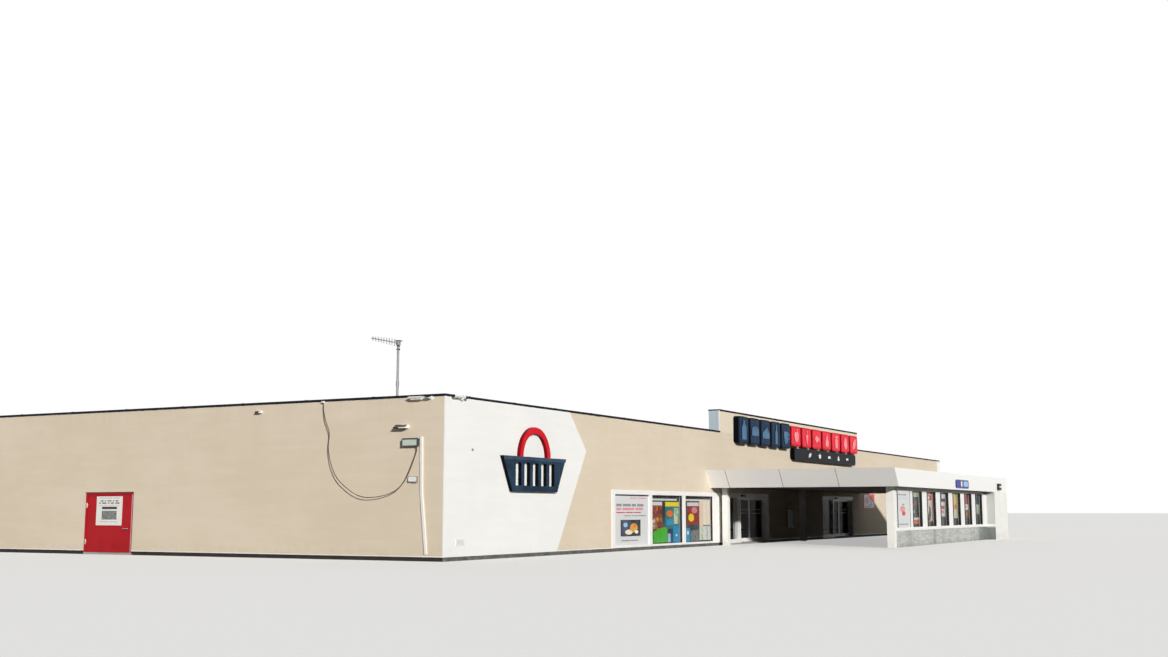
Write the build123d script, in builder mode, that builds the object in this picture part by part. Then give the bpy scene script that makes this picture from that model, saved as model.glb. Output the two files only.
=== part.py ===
"""Single-storey supermarket building, modelled at half of its real size.

All sizes are in millimetres of the half-size model.  X runs along the shop front to the
right, Y runs from the front to the back and Z is up.  The origin is on the ground, at the
middle of the hall's floor.  Sizes that start at a corner of the hall are measured from its
left end along the front, from its front wall along the sides, and from the ground upwards.
"""

import os
from math import radians, tan

from build123d import *

os.makedirs("parts", exist_ok=True)

# The hall: a long flat-roofed box.
hall_length = 34600
hall_depth = 18000
wall_top = 2780
wall_thickness = 150
plinth_height = 70
plinth_setback = 12
plinth_joint = 3
slab_thickness = 40
roof_thickness = 120
roof_below_wall_top = 150
coping_height = 28
coping_overhang = 12
coping_joint = 3

left_x = -hall_length / 2
right_x = hall_length / 2
front_y = -hall_depth / 2
back_y = hall_depth / 2
wall_height = wall_top - plinth_height
inner_length = hall_length - 2 * wall_thickness
inner_depth = hall_depth - 2 * wall_thickness

# The shop window beside the entrance.
shop_window_start = 6147
shop_window_width = 5863
shop_window_top = 1277
shop_band_left = 143
shop_band_right = 467
shop_band_top = 92
shop_band_sill = 45
shop_mullion_width = 142
shop_pane_count = 3
shop_frame_proud = 16
shop_frame_depth = 110
shop_glass_inset = 60
shop_glass_thickness = 12
shop_window_end = shop_window_start + shop_window_width
shop_window_x = left_x + shop_window_start + shop_window_width / 2
shop_window_height = shop_window_top - plinth_height
shop_panes_width = shop_window_width - shop_band_left - shop_band_right
shop_pane_pitch = (shop_panes_width + shop_mullion_width) / shop_pane_count
shop_pane_width = shop_pane_pitch - shop_mullion_width
shop_pane_height = shop_window_height - shop_band_top - shop_band_sill
shop_panes_left = left_x + shop_window_start + shop_band_left
shop_panes_middle_x = shop_panes_left + shop_panes_width / 2
shop_panes_middle_z = plinth_height + shop_band_sill + shop_pane_height / 2

# The raised wall behind the shop's sign starts just past the shop window.
sign_wall_past_window = 38
sign_wall_length = 11532
sign_wall_rise = 537
sign_wall_thickness = 293
sign_wall_start = shop_window_end + sign_wall_past_window
sign_wall_end = sign_wall_start + sign_wall_length
sign_wall_top = wall_top + sign_wall_rise

# The two automatic door sets: a fixed side light and a pair of sliding leaves each.
entrance_pier = 290
door_pier = 4544
door_set_width = 3090
door_head = 1278
door_header_height = 117
door_jamb_width = 50
side_light_width = 975
door_post_width = 60
door_frame_setback = 10
side_light_rail = 90
door_glass_thickness = 12
leaf_thickness = 40
leaf_stile = 52
leaf_top_rail = 60
leaf_bottom_rail = 95
leaf_overlap = 30
leaf_head_overlap = 20
leaf_floor_gap = 8
meeting_gap = 10
track_depth = 70
track_height = 96
track_wall = 6
track_slot = 22
track_end_margin = 40
track_leaf_gap = 6
hanger_length = 90
hanger_thickness = 10
hanger_inset = 150
roller_radius = 14
roller_end_gap = 5
roller_seat_gap = 0.3

door_1_start = shop_window_end + entrance_pier
door_pitch = door_set_width + door_pier
door_2_start = door_1_start + door_pitch
door_opening_start = door_jamb_width + side_light_width + door_post_width
door_opening_width = door_set_width - door_opening_start - door_jamb_width
door_opening_middle = door_opening_start + door_opening_width / 2
door_header_bottom = door_head - door_header_height
door_travel = (door_opening_width - meeting_gap) / 2
leaf_width = door_travel + leaf_overlap
leaf_bottom = slab_thickness + leaf_floor_gap
leaf_top = door_header_bottom + leaf_head_overlap
leaf_height = leaf_top - leaf_bottom
door_frame_depth = wall_thickness - door_frame_setback
door_frame_front = front_y + door_frame_setback
inner_front_y = front_y + wall_thickness
track_y = inner_front_y + track_depth / 2
track_bottom = leaf_top + track_leaf_gap
track_length = door_set_width + door_travel + leaf_overlap + track_end_margin
roller_z = track_bottom + track_wall + roller_seat_gap + roller_radius
roller_length = track_depth - 2 * track_wall - 2 * roller_end_gap

# The hinged side door in the left wall.
side_door_start = 7201
side_door_width = 1304
side_door_head = 1199
side_door_jamb = 48
side_door_stop = 18
side_door_leaf_thickness = 38
side_door_recess = 10
side_door_gap = 6
side_door_board_width = 700
side_door_board_height = 560
side_door_board_rise = 560
side_door_board_thickness = 6
handle_plate_inset = 40
handle_plate_width = 44
handle_plate_height = 150
handle_plate_thickness = 6
handle_height = 500
handle_reach = 40
handle_neck_radius = 8
handle_lever_length = 120
handle_lever_radius = 9
hinge_radius = 9
hinge_length = 96
hinge_knuckles = 3
hinge_gap = 0.3
hinge_off_frame = 0.5
hinge_plate_width = 14
hinge_plate_out = 4
hinge_inset = 150

side_door_opening = side_door_width - 2 * side_door_jamb
side_door_clear_top = side_door_head - side_door_jamb
side_door_leaf_width = side_door_opening - 2 * side_door_gap
side_door_leaf_bottom = slab_thickness + side_door_gap
side_door_leaf_height = side_door_clear_top - side_door_gap - side_door_leaf_bottom
side_door_leaf_x = left_x + side_door_recess
side_door_front_y = front_y + side_door_start
side_door_middle_y = side_door_front_y + side_door_width / 2
hinge_x = left_x - hinge_radius - hinge_off_frame
hinge_y = side_door_front_y + side_door_width - side_door_jamb - side_door_gap / 2

# The open porch: a flat canopy with a leaning side fascia on a glazed screen.
porch_depth = 4603
canopy_before_window_end = 910
fascia_top = 1810
fascia_bottom = 1390
fascia_lean = 318
fascia_thickness = 24
fascia_joint = 4
fascia_panel_length = 1360
fascia_panel_count = 4
front_panel_count = 6
canopy_deck_thickness = 50
canopy_deck_below_top = 40
soffit_thickness = 18
soffit_above_fascia = 14
beam_width = 70
beam_count = 7

canopy_front_y = front_y - porch_depth
fascia_height = fascia_top - fascia_bottom
fascia_top_start = shop_window_end - canopy_before_window_end
fascia_bottom_start = fascia_top_start + fascia_lean
soffit_bottom = fascia_bottom + soffit_above_fascia
deck_top = fascia_top - canopy_deck_below_top
deck_bottom = deck_top - canopy_deck_thickness
beam_bottom = soffit_bottom + soffit_thickness
fascia_slope = fascia_lean / fascia_height
canopy_inner_depth = porch_depth - fascia_thickness

# The screen under the front of the canopy.
screen_setback = 235
screen_plinth_height = 380
screen_plinth_thickness = 160
screen_sill_height = 62
screen_sill_proud = 24
screen_frame_thickness = 90
screen_window_width = 827
screen_pilaster_width = 556
screen_window_count = 6
poster_jamb = 160
first_pilaster = 304
last_pilaster = 715
poster_window_width = 1096
screen_window_bottom = 452
screen_window_top = 1314
screen_glass_thickness = 12
fin_length = 1859
pillar_inset = 342
pillar_size = 170
column_inset = 382
column_pitch = 5680
column_size = 145
column_from_wall = 135

screen_y = canopy_front_y + screen_setback
pillar_start = fascia_bottom_start + pillar_inset
screen_start = pillar_start + pillar_size
column_1_start = fascia_bottom_start + column_inset
column_2_start = column_1_start + column_pitch
fin_thickness = screen_setback + screen_plinth_thickness
poster_window_start = screen_start + poster_jamb
screen_window_start = poster_window_start + poster_window_width + first_pilaster
screen_pitch = screen_window_width + screen_pilaster_width
screen_frame_bottom = screen_plinth_height + screen_sill_height
screen_frame_height = soffit_bottom - screen_frame_bottom
screen_window_height = screen_window_top - screen_window_bottom
screen_window_z = (screen_window_top + screen_window_bottom) / 2
screen_windows_width = screen_pitch * screen_window_count - screen_pilaster_width
screen_window_middle = screen_window_start + screen_windows_width / 2
fin_start = screen_window_start + screen_windows_width + last_pilaster
fascia_end = fin_start + fin_length
canopy_right_x = left_x + fascia_end
screen_length = fin_start - screen_start

# The white panel at the front left corner and the raised motif on it.
panel_thickness = 8
panel_bottom_width = 3843
panel_tip_width = 5034
panel_tip_height = 2033
panel_top_width = 4337
motif_middle = 2905
motif_bottom = 1190
motif_depth = 70
basket_top_width = 2300
basket_bottom_width = 1640
basket_height = 640
basket_bar = 110
basket_slots = 5
handle_radius = 560
handle_bar = 120

# The sign on the raised wall: rows of plain tiles and a bar below them.
sign_depth = 140
navy_inset = 886
navy_below_wall_top = 235
navy_tile_count = 5
navy_tile_width = 700
navy_tile_height = 690
navy_tile_gap = 88
red_tile_count = 7
red_tile_width = 800
red_tile_height = 560
red_tile_gap = 112
navy_red_gap = 92
red_below_wall_top = 140
tile_corner = 90
bar_inset = 5100
bar_gap = 48
bar_length = 5760
bar_height = 330

navy_start = sign_wall_start + navy_inset
navy_bottom = wall_top - navy_below_wall_top
navy_pitch = navy_tile_width + navy_tile_gap
navy_length = navy_pitch * navy_tile_count - navy_tile_gap
red_start = navy_start + navy_length + navy_red_gap
red_bottom = wall_top - red_below_wall_top
red_pitch = red_tile_width + red_tile_gap
red_length = red_pitch * red_tile_count - red_tile_gap
bar_start = sign_wall_start + bar_inset
bar_bottom = red_bottom - bar_gap - bar_height

# Lamps, boxes and trunking on the left side wall, placed from the front wall.
lamp_start = 731
lamp_width = 253
lamp_bottom = 2238
lamp_height = 66
lamp_reach = 120
small_lamp_start = 4020
small_lamp_width = 130
small_lamp_bottom = 2612
small_lamp_height = 46
small_lamp_reach = 70
lamp_lip = 16
lamp_top_share = 0.3
lamp_shell = 6
lamp_cavity = 10
floodlight_start = 505
floodlight_width = 325
floodlight_bottom = 1930
floodlight_height = 127
floodlight_depth = 60
floodlight_corner = 8
floodlight_rim = 12
floodlight_recess = 10
floodlight_off_wall = 14
floodlight_foot_width = 110
floodlight_foot_height = 60
junction_start = 523
junction_width = 189
junction_bottom = 1323
junction_height = 103
junction_depth = 36
junction_corner = 12
trunking_width = 45
trunking_depth = 25
trunking_route = ((459, 2082), (439, 1137), (334, 116))

# Cameras, a sensor and a vent.
camera_plate_below_top = 42
camera_reach = 66
camera_plate_radius = 38
camera_plate_thickness = 12
camera_arm_radius = 12
camera_riser_radius = 9
camera_body_radius = 24
camera_hood_radius = 30
side_camera_place = 264
side_camera_arm = 168
side_camera_length = 230
front_camera_place = 442
front_camera_arm = 42
front_camera_rise = 34
front_camera_left_length = 247
front_camera_right_length = 82
sensor_place = 853
sensor_z = 1893
sensor_radius = 26
sensor_depth = 18
sensor_taper = 30
vent_start = 365
vent_width = 274
vent_bottom = 248
vent_height = 118
vent_depth = 10
vent_slot_count = 5
vent_slot_height = 9
vent_slot_pitch = 20
vent_border = 17
camera_z = wall_top - camera_plate_below_top

# Small pieces at the doors, on the wall between them and on the canopy's front.
door_sensor_width = 220
door_sensor_height = 50
door_sensor_depth = 48
door_sensor_taper = 12
door_sensor_above_header = 57
door_1_sensor_place = 1223
door_2_sensor_place = 1320
porch_lamp_past_door = 1589
porch_lamp_z = 953
porch_lamp_radius = 60
porch_lamp_depth = 45
porch_lamp_taper = 20
notice_past_door = 1659
notice_width = 504
notice_z = 622
notice_height = 512
notice_depth = 25
notice_rim = 22
notice_recess = 8
badge_past_corner = 6316
badge_width = 1452
badge_height = 218
badge_depth = 24
badge_corner = 70
fascia_lamp_before_end = 1264
fascia_lamp_width = 338
fascia_lamp_height = 192
fascia_lamp_plate = 12
fascia_lamp_depth = 70
fascia_lamp_body_height = 76
fascia_fitting_z = 1548

# The aerial on the roof.
aerial_x = 900
aerial_y = 1655
aerial_top = 3900
aerial_mast_radius = 22
aerial_foot_size = 220
aerial_foot_thickness = 14
aerial_sleeve_radius = 28
aerial_sleeve_length = 90
aerial_sleeve_share = 0.35
aerial_boom_length = 790
aerial_boom_past_mast = 40
aerial_boom_size = 16
aerial_clamp_size = 70
aerial_rod_count = 9
aerial_rod_length = 130
aerial_rod_shorter = 6
aerial_rod_radius = 4
aerial_rod_sides = 6
roof_top = wall_top - roof_below_wall_top

# The loose cable that hangs between the wall top and the floodlight.  Each point of its
# route gives how far it stands off the wall, its distance behind the front wall and its height.
cable_diameter = 14
cable_sides = 8
cable_arc_share = 0.45
cable_box_size = 48
cable_box_height = 36
cable_gland_radius = 14
cable_gland_length = 24
cable_route = (
    (24, 2588, 2740),
    (24, 2588, 2650),
    (34, 2534, 2530),
    (42, 2486, 2420),
    (44, 2434, 2316),
    (40, 2402, 2190),
    (22, 2442, 2070),
    (28, 2432, 1968),
    (40, 2408, 1866),
    (52, 2374, 1762),
    (60, 2340, 1660),
    (68, 2288, 1562),
    (76, 2232, 1462),
    (82, 2160, 1376),
    (88, 2060, 1298),
    (94, 1950, 1222),
    (98, 1832, 1150),
    (100, 1706, 1098),
    (100, 1574, 1070),
    (98, 1440, 1066),
    (94, 1308, 1078),
    (88, 1180, 1098),
    (82, 1060, 1128),
    (76, 950, 1172),
    (72, 856, 1236),
    (70, 776, 1316),
    (70, 708, 1412),
    (68, 650, 1520),
    (60, 604, 1636),
    (50, 566, 1752),
    (40, 534, 1846),
    (40, 534, 1906),
)

# Floor, walls and roof.
with BuildPart() as floor_slab:
    with BuildSketch(Plane.XY):
        Rectangle(inner_length, inner_depth)
        for door_start in (door_1_start, door_2_start):
            with Locations((left_x + door_start + door_set_width / 2, front_y + wall_thickness / 2)):
                Rectangle(door_set_width, wall_thickness)
        with Locations((left_x + wall_thickness / 2, side_door_middle_y)):
            Rectangle(wall_thickness, side_door_width)
    extrude(amount=slab_thickness)
floor_slab.part.label = "floor_slab"
export_step(floor_slab.part, "parts/floor_slab.step")

front_runs = (
    (0, door_1_start),
    (door_1_start + door_set_width, door_2_start),
    (door_2_start + door_set_width, hall_length),
)
side_runs = (
    (wall_thickness, side_door_start),
    (side_door_start + side_door_width, hall_depth - wall_thickness),
)
plinth_thickness = wall_thickness - plinth_setback
with BuildPart() as wall_plinth:
    with BuildSketch(Plane.XY):
        for run_start, run_end in front_runs:
            inset_left = plinth_setback if run_start == 0 else 0
            inset_right = plinth_setback if run_end == hall_length else 0
            run_length = run_end - run_start - inset_left - inset_right
            run_x = left_x + run_start + inset_left + run_length / 2
            with Locations((run_x, front_y + (wall_thickness + plinth_setback) / 2)):
                Rectangle(run_length, plinth_thickness)
        with Locations((0, back_y - (wall_thickness + plinth_setback) / 2)):
            Rectangle(hall_length - 2 * plinth_setback, plinth_thickness)
        for run_start, run_end in side_runs:
            joint_front = plinth_joint if run_start == wall_thickness else 0
            joint_back = plinth_joint if run_end == hall_depth - wall_thickness else 0
            run_y = front_y + (run_start + joint_front + run_end - joint_back) / 2
            with Locations((left_x + (wall_thickness + plinth_setback) / 2, run_y)):
                Rectangle(plinth_thickness, run_end - run_start - joint_front - joint_back)
        with Locations((right_x - (wall_thickness + plinth_setback) / 2, 0)):
            Rectangle(plinth_thickness, inner_depth - 2 * plinth_joint)
    extrude(amount=plinth_height)
wall_plinth.part.label = "wall_plinth"
export_step(wall_plinth.part, "parts/wall_plinth.step")

wall_runs = (
    (0, shop_window_start),
    (shop_window_end, door_1_start),
    (door_1_start + door_set_width, door_2_start),
    (door_2_start + door_set_width, hall_length),
)
with BuildPart() as front_wall:
    with BuildSketch(Plane.XY.offset(plinth_height)):
        for run_start, run_end in wall_runs:
            with Locations((left_x + (run_start + run_end) / 2, front_y + wall_thickness / 2)):
                Rectangle(run_end - run_start, wall_thickness)
    extrude(amount=wall_height)
front_wall.part.label = "front_wall"
export_step(front_wall.part, "parts/front_wall.step")

front_heads = (
    (shop_window_start, shop_window_width, shop_window_top),
    (door_1_start, door_set_width, door_head),
    (door_2_start, door_set_width, door_head),
)
with BuildPart() as wall_heads:
    for head_start, head_width, head_bottom in front_heads:
        with BuildSketch(Plane.XY.offset(head_bottom)):
            with Locations((left_x + head_start + head_width / 2, front_y + wall_thickness / 2)):
                Rectangle(head_width, wall_thickness)
        extrude(amount=wall_top - head_bottom)
    with BuildSketch(Plane.XY.offset(side_door_head)):
        with Locations((left_x + wall_thickness / 2, side_door_middle_y)):
            Rectangle(wall_thickness, side_door_width)
    extrude(amount=wall_top - side_door_head)
wall_heads.part.label = "wall_heads"
export_step(wall_heads.part, "parts/wall_heads.step")

with BuildPart() as side_walls:
    with BuildSketch(Plane.XY.offset(plinth_height)):
        for run_start, run_end in side_runs:
            with Locations((left_x + wall_thickness / 2, front_y + (run_start + run_end) / 2)):
                Rectangle(wall_thickness, run_end - run_start)
        with Locations((right_x - wall_thickness / 2, 0)):
            Rectangle(wall_thickness, inner_depth)
    extrude(amount=wall_height)
side_walls.part.label = "side_walls"
export_step(side_walls.part, "parts/side_walls.step")

with BuildPart() as back_wall:
    with BuildSketch(Plane.XY.offset(plinth_height)):
        with Locations((0, back_y - wall_thickness / 2)):
            Rectangle(hall_length, wall_thickness)
    extrude(amount=wall_height)
back_wall.part.label = "back_wall"
export_step(back_wall.part, "parts/back_wall.step")

with BuildPart() as roof_slab:
    with BuildSketch(Plane.XY.offset(wall_top - roof_below_wall_top - roof_thickness)):
        Rectangle(inner_length, inner_depth)
    extrude(amount=roof_thickness)
roof_slab.part.label = "roof_slab"
export_step(roof_slab.part, "parts/roof_slab.step")

sign_wall_x = left_x + sign_wall_start + sign_wall_length / 2
with BuildPart() as sign_wall:
    with BuildSketch(Plane.XY.offset(wall_top)):
        with Locations((sign_wall_x, front_y + sign_wall_thickness / 2)):
            Rectangle(sign_wall_length, sign_wall_thickness)
    extrude(amount=sign_wall_rise)
sign_wall.part.label = "sign_wall"
export_step(sign_wall.part, "parts/sign_wall.step")

coping_width = wall_thickness + 2 * coping_overhang
coping_left = left_x - coping_overhang
coping_right = right_x + coping_overhang
coping_front = front_y - coping_overhang
coping_back = back_y + coping_overhang
front_copings = (
    (coping_left, left_x + sign_wall_start),
    (left_x + sign_wall_end, coping_right),
)
with BuildPart() as wall_coping:
    with BuildSketch(Plane.XY.offset(wall_top)):
        for run_start, run_end in front_copings:
            with Locations(((run_start + run_end) / 2, coping_front + coping_width / 2)):
                Rectangle(run_end - run_start, coping_width)
        with Locations((0, coping_back - coping_width / 2)):
            Rectangle(coping_right - coping_left, coping_width)
        side_coping_length = hall_depth + 2 * coping_overhang - 2 * coping_width - 2 * coping_joint
        for side_x in (coping_left + coping_width / 2, coping_right - coping_width / 2):
            with Locations((side_x, 0)):
                Rectangle(coping_width, side_coping_length)
    extrude(amount=coping_height)
    with BuildSketch(Plane.XY.offset(sign_wall_top)):
        with Locations((sign_wall_x, front_y + sign_wall_thickness / 2)):
            Rectangle(
                sign_wall_length + 2 * coping_overhang,
                sign_wall_thickness + 2 * coping_overhang,
            )
    extrude(amount=coping_height)
wall_coping.part.label = "wall_coping"
export_step(wall_coping.part, "parts/wall_coping.step")

# The shop window.
with BuildPart() as shop_frame:
    with BuildSketch(Plane.XZ.offset(-front_y + shop_frame_proud)):
        with Locations((shop_window_x, plinth_height + shop_window_height / 2)):
            Rectangle(shop_window_width, shop_window_height)
        with Locations((shop_panes_middle_x, shop_panes_middle_z)):
            with GridLocations(shop_pane_pitch, 0, shop_pane_count, 1):
                Rectangle(shop_pane_width, shop_pane_height, mode=Mode.SUBTRACT)
    extrude(amount=-shop_frame_depth - shop_frame_proud)
shop_frame.part.label = "shop_frame"
export_step(shop_frame.part, "parts/shop_frame.step")

with BuildPart() as shop_glass:
    with BuildSketch(Plane.XZ.offset(-front_y - shop_glass_inset)):
        with Locations((shop_panes_middle_x, shop_panes_middle_z)):
            with GridLocations(shop_pane_pitch, 0, shop_pane_count, 1):
                Rectangle(shop_pane_width, shop_pane_height)
    extrude(amount=-shop_glass_thickness)
shop_glass.part.label = "shop_glass"
export_step(shop_glass.part, "parts/shop_glass.step")

# The first door set.  Its places along the front start at the left end of its frame.
set_x = left_x + door_1_start
door_panel_height = door_header_bottom - slab_thickness
side_light_height = door_panel_height - side_light_rail
side_light_x = set_x + door_jamb_width + side_light_width / 2
side_light_z = slab_thickness + side_light_rail + side_light_height / 2
with BuildPart() as door_1_frame:
    with BuildSketch(Plane.XZ.offset(-door_frame_front)):
        with Locations((set_x + door_set_width / 2, (slab_thickness + door_head) / 2)):
            Rectangle(door_set_width, door_head - slab_thickness)
        with Locations((set_x + door_opening_middle, slab_thickness + door_panel_height / 2)):
            Rectangle(door_opening_width, door_panel_height, mode=Mode.SUBTRACT)
        with Locations((side_light_x, side_light_z)):
            Rectangle(side_light_width, side_light_height, mode=Mode.SUBTRACT)
    extrude(amount=-door_frame_depth)
door_1_frame.part.label = "door_1_frame"
export_step(door_1_frame.part, "parts/door_1_frame.step")

with BuildPart() as side_light_glass:
    with BuildSketch(Plane.XZ.offset(-door_frame_front - door_frame_depth / 2 + door_glass_thickness / 2)):
        with Locations((side_light_x, side_light_z), (side_light_x + door_pitch, side_light_z)):
            Rectangle(side_light_width, side_light_height)
    extrude(amount=-door_glass_thickness)
side_light_glass.part.label = "side_light_glass"
export_step(side_light_glass.part, "parts/side_light_glass.step")

track_middle_z = track_bottom + track_height / 2
with BuildPart() as door_tracks:
    with BuildSketch(Plane.YZ.offset(set_x)):
        with Locations((track_y, track_middle_z)):
            Rectangle(track_depth, track_height)
            Rectangle(track_depth - 2 * track_wall, track_height - 2 * track_wall, mode=Mode.SUBTRACT)
        with Locations((track_y, track_bottom + track_wall / 2)):
            Rectangle(track_slot, track_wall, mode=Mode.SUBTRACT)
    extrude(amount=track_length)
    add(door_tracks.part.moved(Location((door_pitch, 0, 0))))
door_tracks.part.label = "door_tracks"
export_step(door_tracks.part, "parts/door_tracks.step")

leaf_z = leaf_bottom + leaf_height / 2
leaf_glass_height = leaf_height - leaf_top_rail - leaf_bottom_rail
leaf_glass_z = leaf_bottom + leaf_bottom_rail + leaf_glass_height / 2
leaf_glass_width = leaf_width - 2 * leaf_stile
left_leaf_x = set_x + door_opening_middle - meeting_gap / 2 - leaf_width / 2
right_leaf_x = set_x + door_opening_middle + meeting_gap / 2 + leaf_width / 2
leaf_back_plane = Plane.XZ.offset(-track_y - leaf_thickness / 2)
hanger_spacing = leaf_width - 2 * hanger_inset
hanger_height = roller_z - leaf_top


def leaf_frame(middle_x):
    """Return the frame of one sliding leaf with its two hangers and rollers."""
    with BuildPart() as leaf:
        with BuildSketch(leaf_back_plane):
            with Locations((middle_x, leaf_z)):
                Rectangle(leaf_width, leaf_height)
            with Locations((middle_x, leaf_glass_z)):
                Rectangle(leaf_glass_width, leaf_glass_height, mode=Mode.SUBTRACT)
        extrude(amount=leaf_thickness)
        with BuildSketch(Plane.XZ.offset(-track_y - hanger_thickness / 2)):
            with Locations((middle_x, leaf_top + hanger_height / 2)):
                with GridLocations(hanger_spacing, 0, 2, 1):
                    Rectangle(hanger_length, hanger_height)
        extrude(amount=hanger_thickness)
        with BuildSketch(Plane.XZ.offset(-track_y - roller_length / 2)):
            with Locations((middle_x, roller_z)):
                with GridLocations(hanger_spacing, 0, 2, 1):
                    Circle(roller_radius)
        extrude(amount=roller_length)
    return leaf.part


def leaf_pane(middle_x):
    """Return the glass of one sliding leaf."""
    with BuildPart() as pane:
        with BuildSketch(Plane.XZ.offset(-track_y - door_glass_thickness / 2)):
            with Locations((middle_x, leaf_glass_z)):
                Rectangle(leaf_glass_width, leaf_glass_height)
        extrude(amount=door_glass_thickness)
    return pane.part


with BuildPart() as door_1_left_leaf:
    add(leaf_frame(left_leaf_x))
door_1_left_leaf.part.label = "door_1_left_leaf"
export_step(door_1_left_leaf.part, "parts/door_1_left_leaf.step")

with BuildPart() as door_1_left_glass:
    add(leaf_pane(left_leaf_x))
door_1_left_glass.part.label = "door_1_left_glass"
export_step(door_1_left_glass.part, "parts/door_1_left_glass.step")

with BuildPart() as door_1_right_leaf:
    add(leaf_frame(right_leaf_x))
door_1_right_leaf.part.label = "door_1_right_leaf"
export_step(door_1_right_leaf.part, "parts/door_1_right_leaf.step")

with BuildPart() as door_1_right_glass:
    add(leaf_pane(right_leaf_x))
door_1_right_glass.part.label = "door_1_right_glass"
export_step(door_1_right_glass.part, "parts/door_1_right_glass.step")

# The second door set repeats the first, further along the front.
to_second_set = Location((door_pitch, 0, 0))
with BuildPart() as door_2_frame:
    add(door_1_frame.part.moved(to_second_set))
door_2_frame.part.label = "door_2_frame"
export_step(door_2_frame.part, "parts/door_2_frame.step")

with BuildPart() as door_2_left_leaf:
    add(leaf_frame(left_leaf_x + door_pitch))
door_2_left_leaf.part.label = "door_2_left_leaf"
export_step(door_2_left_leaf.part, "parts/door_2_left_leaf.step")

with BuildPart() as door_2_left_glass:
    add(leaf_pane(left_leaf_x + door_pitch))
door_2_left_glass.part.label = "door_2_left_glass"
export_step(door_2_left_glass.part, "parts/door_2_left_glass.step")

with BuildPart() as door_2_right_leaf:
    add(leaf_frame(right_leaf_x + door_pitch))
door_2_right_leaf.part.label = "door_2_right_leaf"
export_step(door_2_right_leaf.part, "parts/door_2_right_leaf.step")

with BuildPart() as door_2_right_glass:
    add(leaf_pane(right_leaf_x + door_pitch))
door_2_right_glass.part.label = "door_2_right_glass"
export_step(door_2_right_glass.part, "parts/door_2_right_glass.step")

# The side door.  Its hinges stand on the jamb further from the front.
side_door_stop_x = side_door_leaf_x + side_door_leaf_thickness + side_door_gap
knuckle_length = hinge_length / hinge_knuckles
hinge_bottoms = (
    side_door_leaf_bottom + hinge_inset,
    side_door_leaf_bottom + side_door_leaf_height - hinge_inset - hinge_length,
)
leaf_middle_z = side_door_leaf_bottom + side_door_leaf_height / 2
frame_plate_y = hinge_y + (side_door_gap + hinge_plate_width) / 2
leaf_plate_y = hinge_y - (side_door_gap + hinge_plate_width) / 2
hinge_plate_outer_x = hinge_x - hinge_plate_out
with BuildPart() as side_door_frame:
    with BuildSketch(Plane.YZ.offset(left_x)):
        with Locations((side_door_middle_y, (slab_thickness + side_door_head) / 2)):
            Rectangle(side_door_width, side_door_head - slab_thickness)
        with Locations((side_door_middle_y, (slab_thickness + side_door_clear_top) / 2)):
            Rectangle(side_door_opening, side_door_clear_top - slab_thickness, mode=Mode.SUBTRACT)
    extrude(amount=wall_thickness)
    with BuildSketch(Plane.YZ.offset(side_door_stop_x)):
        with Locations((side_door_middle_y, (slab_thickness + side_door_clear_top) / 2)):
            Rectangle(side_door_opening, side_door_clear_top - slab_thickness)
        with Locations((side_door_middle_y, (slab_thickness + side_door_clear_top - side_door_stop) / 2)):
            Rectangle(
                side_door_opening - 2 * side_door_stop,
                side_door_clear_top - side_door_stop - slab_thickness,
                mode=Mode.SUBTRACT,
            )
    extrude(amount=left_x + wall_thickness - side_door_stop_x)
    for hinge_bottom in hinge_bottoms:
        for knuckle_bottom in (hinge_bottom, hinge_bottom + 2 * knuckle_length):
            with BuildSketch(Plane.XY.offset(knuckle_bottom)):
                with Locations((hinge_x, hinge_y)):
                    Circle(hinge_radius)
                with Locations(((hinge_plate_outer_x + left_x) / 2, frame_plate_y)):
                    Rectangle(left_x - hinge_plate_outer_x, hinge_plate_width)
            extrude(amount=knuckle_length)
side_door_frame.part.label = "side_door_frame"
export_step(side_door_frame.part, "parts/side_door_frame.step")

with BuildPart() as side_door_leaf:
    with BuildSketch(Plane.YZ.offset(side_door_leaf_x)):
        with Locations((side_door_middle_y, leaf_middle_z)):
            Rectangle(side_door_leaf_width, side_door_leaf_height)
    extrude(amount=side_door_leaf_thickness)
    for hinge_bottom in hinge_bottoms:
        with BuildSketch(Plane.XY.offset(hinge_bottom + knuckle_length + hinge_gap)):
            with Locations((hinge_x, hinge_y)):
                Circle(hinge_radius)
            with Locations(((hinge_plate_outer_x + side_door_leaf_x) / 2, leaf_plate_y)):
                Rectangle(side_door_leaf_x - hinge_plate_outer_x, hinge_plate_width)
        extrude(amount=knuckle_length - 2 * hinge_gap)
    handle_y = side_door_middle_y - side_door_leaf_width / 2 + handle_plate_inset + handle_plate_width / 2
    with BuildSketch(Plane.YZ.offset(side_door_leaf_x)):
        with Locations((handle_y, handle_height)):
            RectangleRounded(handle_plate_width, handle_plate_height, handle_plate_thickness)
    extrude(amount=-handle_plate_thickness)
    with BuildSketch(Plane.YZ.offset(side_door_leaf_x)):
        with Locations((handle_y, handle_height)):
            Circle(handle_neck_radius)
    extrude(amount=-handle_reach)
    with BuildSketch(Plane.XZ.offset(-handle_y + handle_neck_radius)):
        with Locations((side_door_leaf_x - handle_reach, handle_height)):
            Circle(handle_lever_radius)
    extrude(amount=-handle_lever_length)
side_door_leaf.part.label = "side_door_leaf"
export_step(side_door_leaf.part, "parts/side_door_leaf.step")

with BuildPart() as side_door_board:
    with BuildSketch(Plane.YZ.offset(side_door_leaf_x)):
        with Locations((side_door_middle_y, side_door_board_rise + side_door_board_height / 2)):
            Rectangle(side_door_board_width, side_door_board_height)
    extrude(amount=-side_door_board_thickness)
side_door_board.part.label = "side_door_board"
export_step(side_door_board.part, "parts/side_door_board.step")

# The canopy.
beam_height = deck_bottom - beam_bottom


def fascia_inner_x(height):
    """Return where the back of the leaning fascia stands at a height above the ground."""
    return left_x + fascia_top_start + (fascia_top - height) * fascia_slope + fascia_thickness


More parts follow.
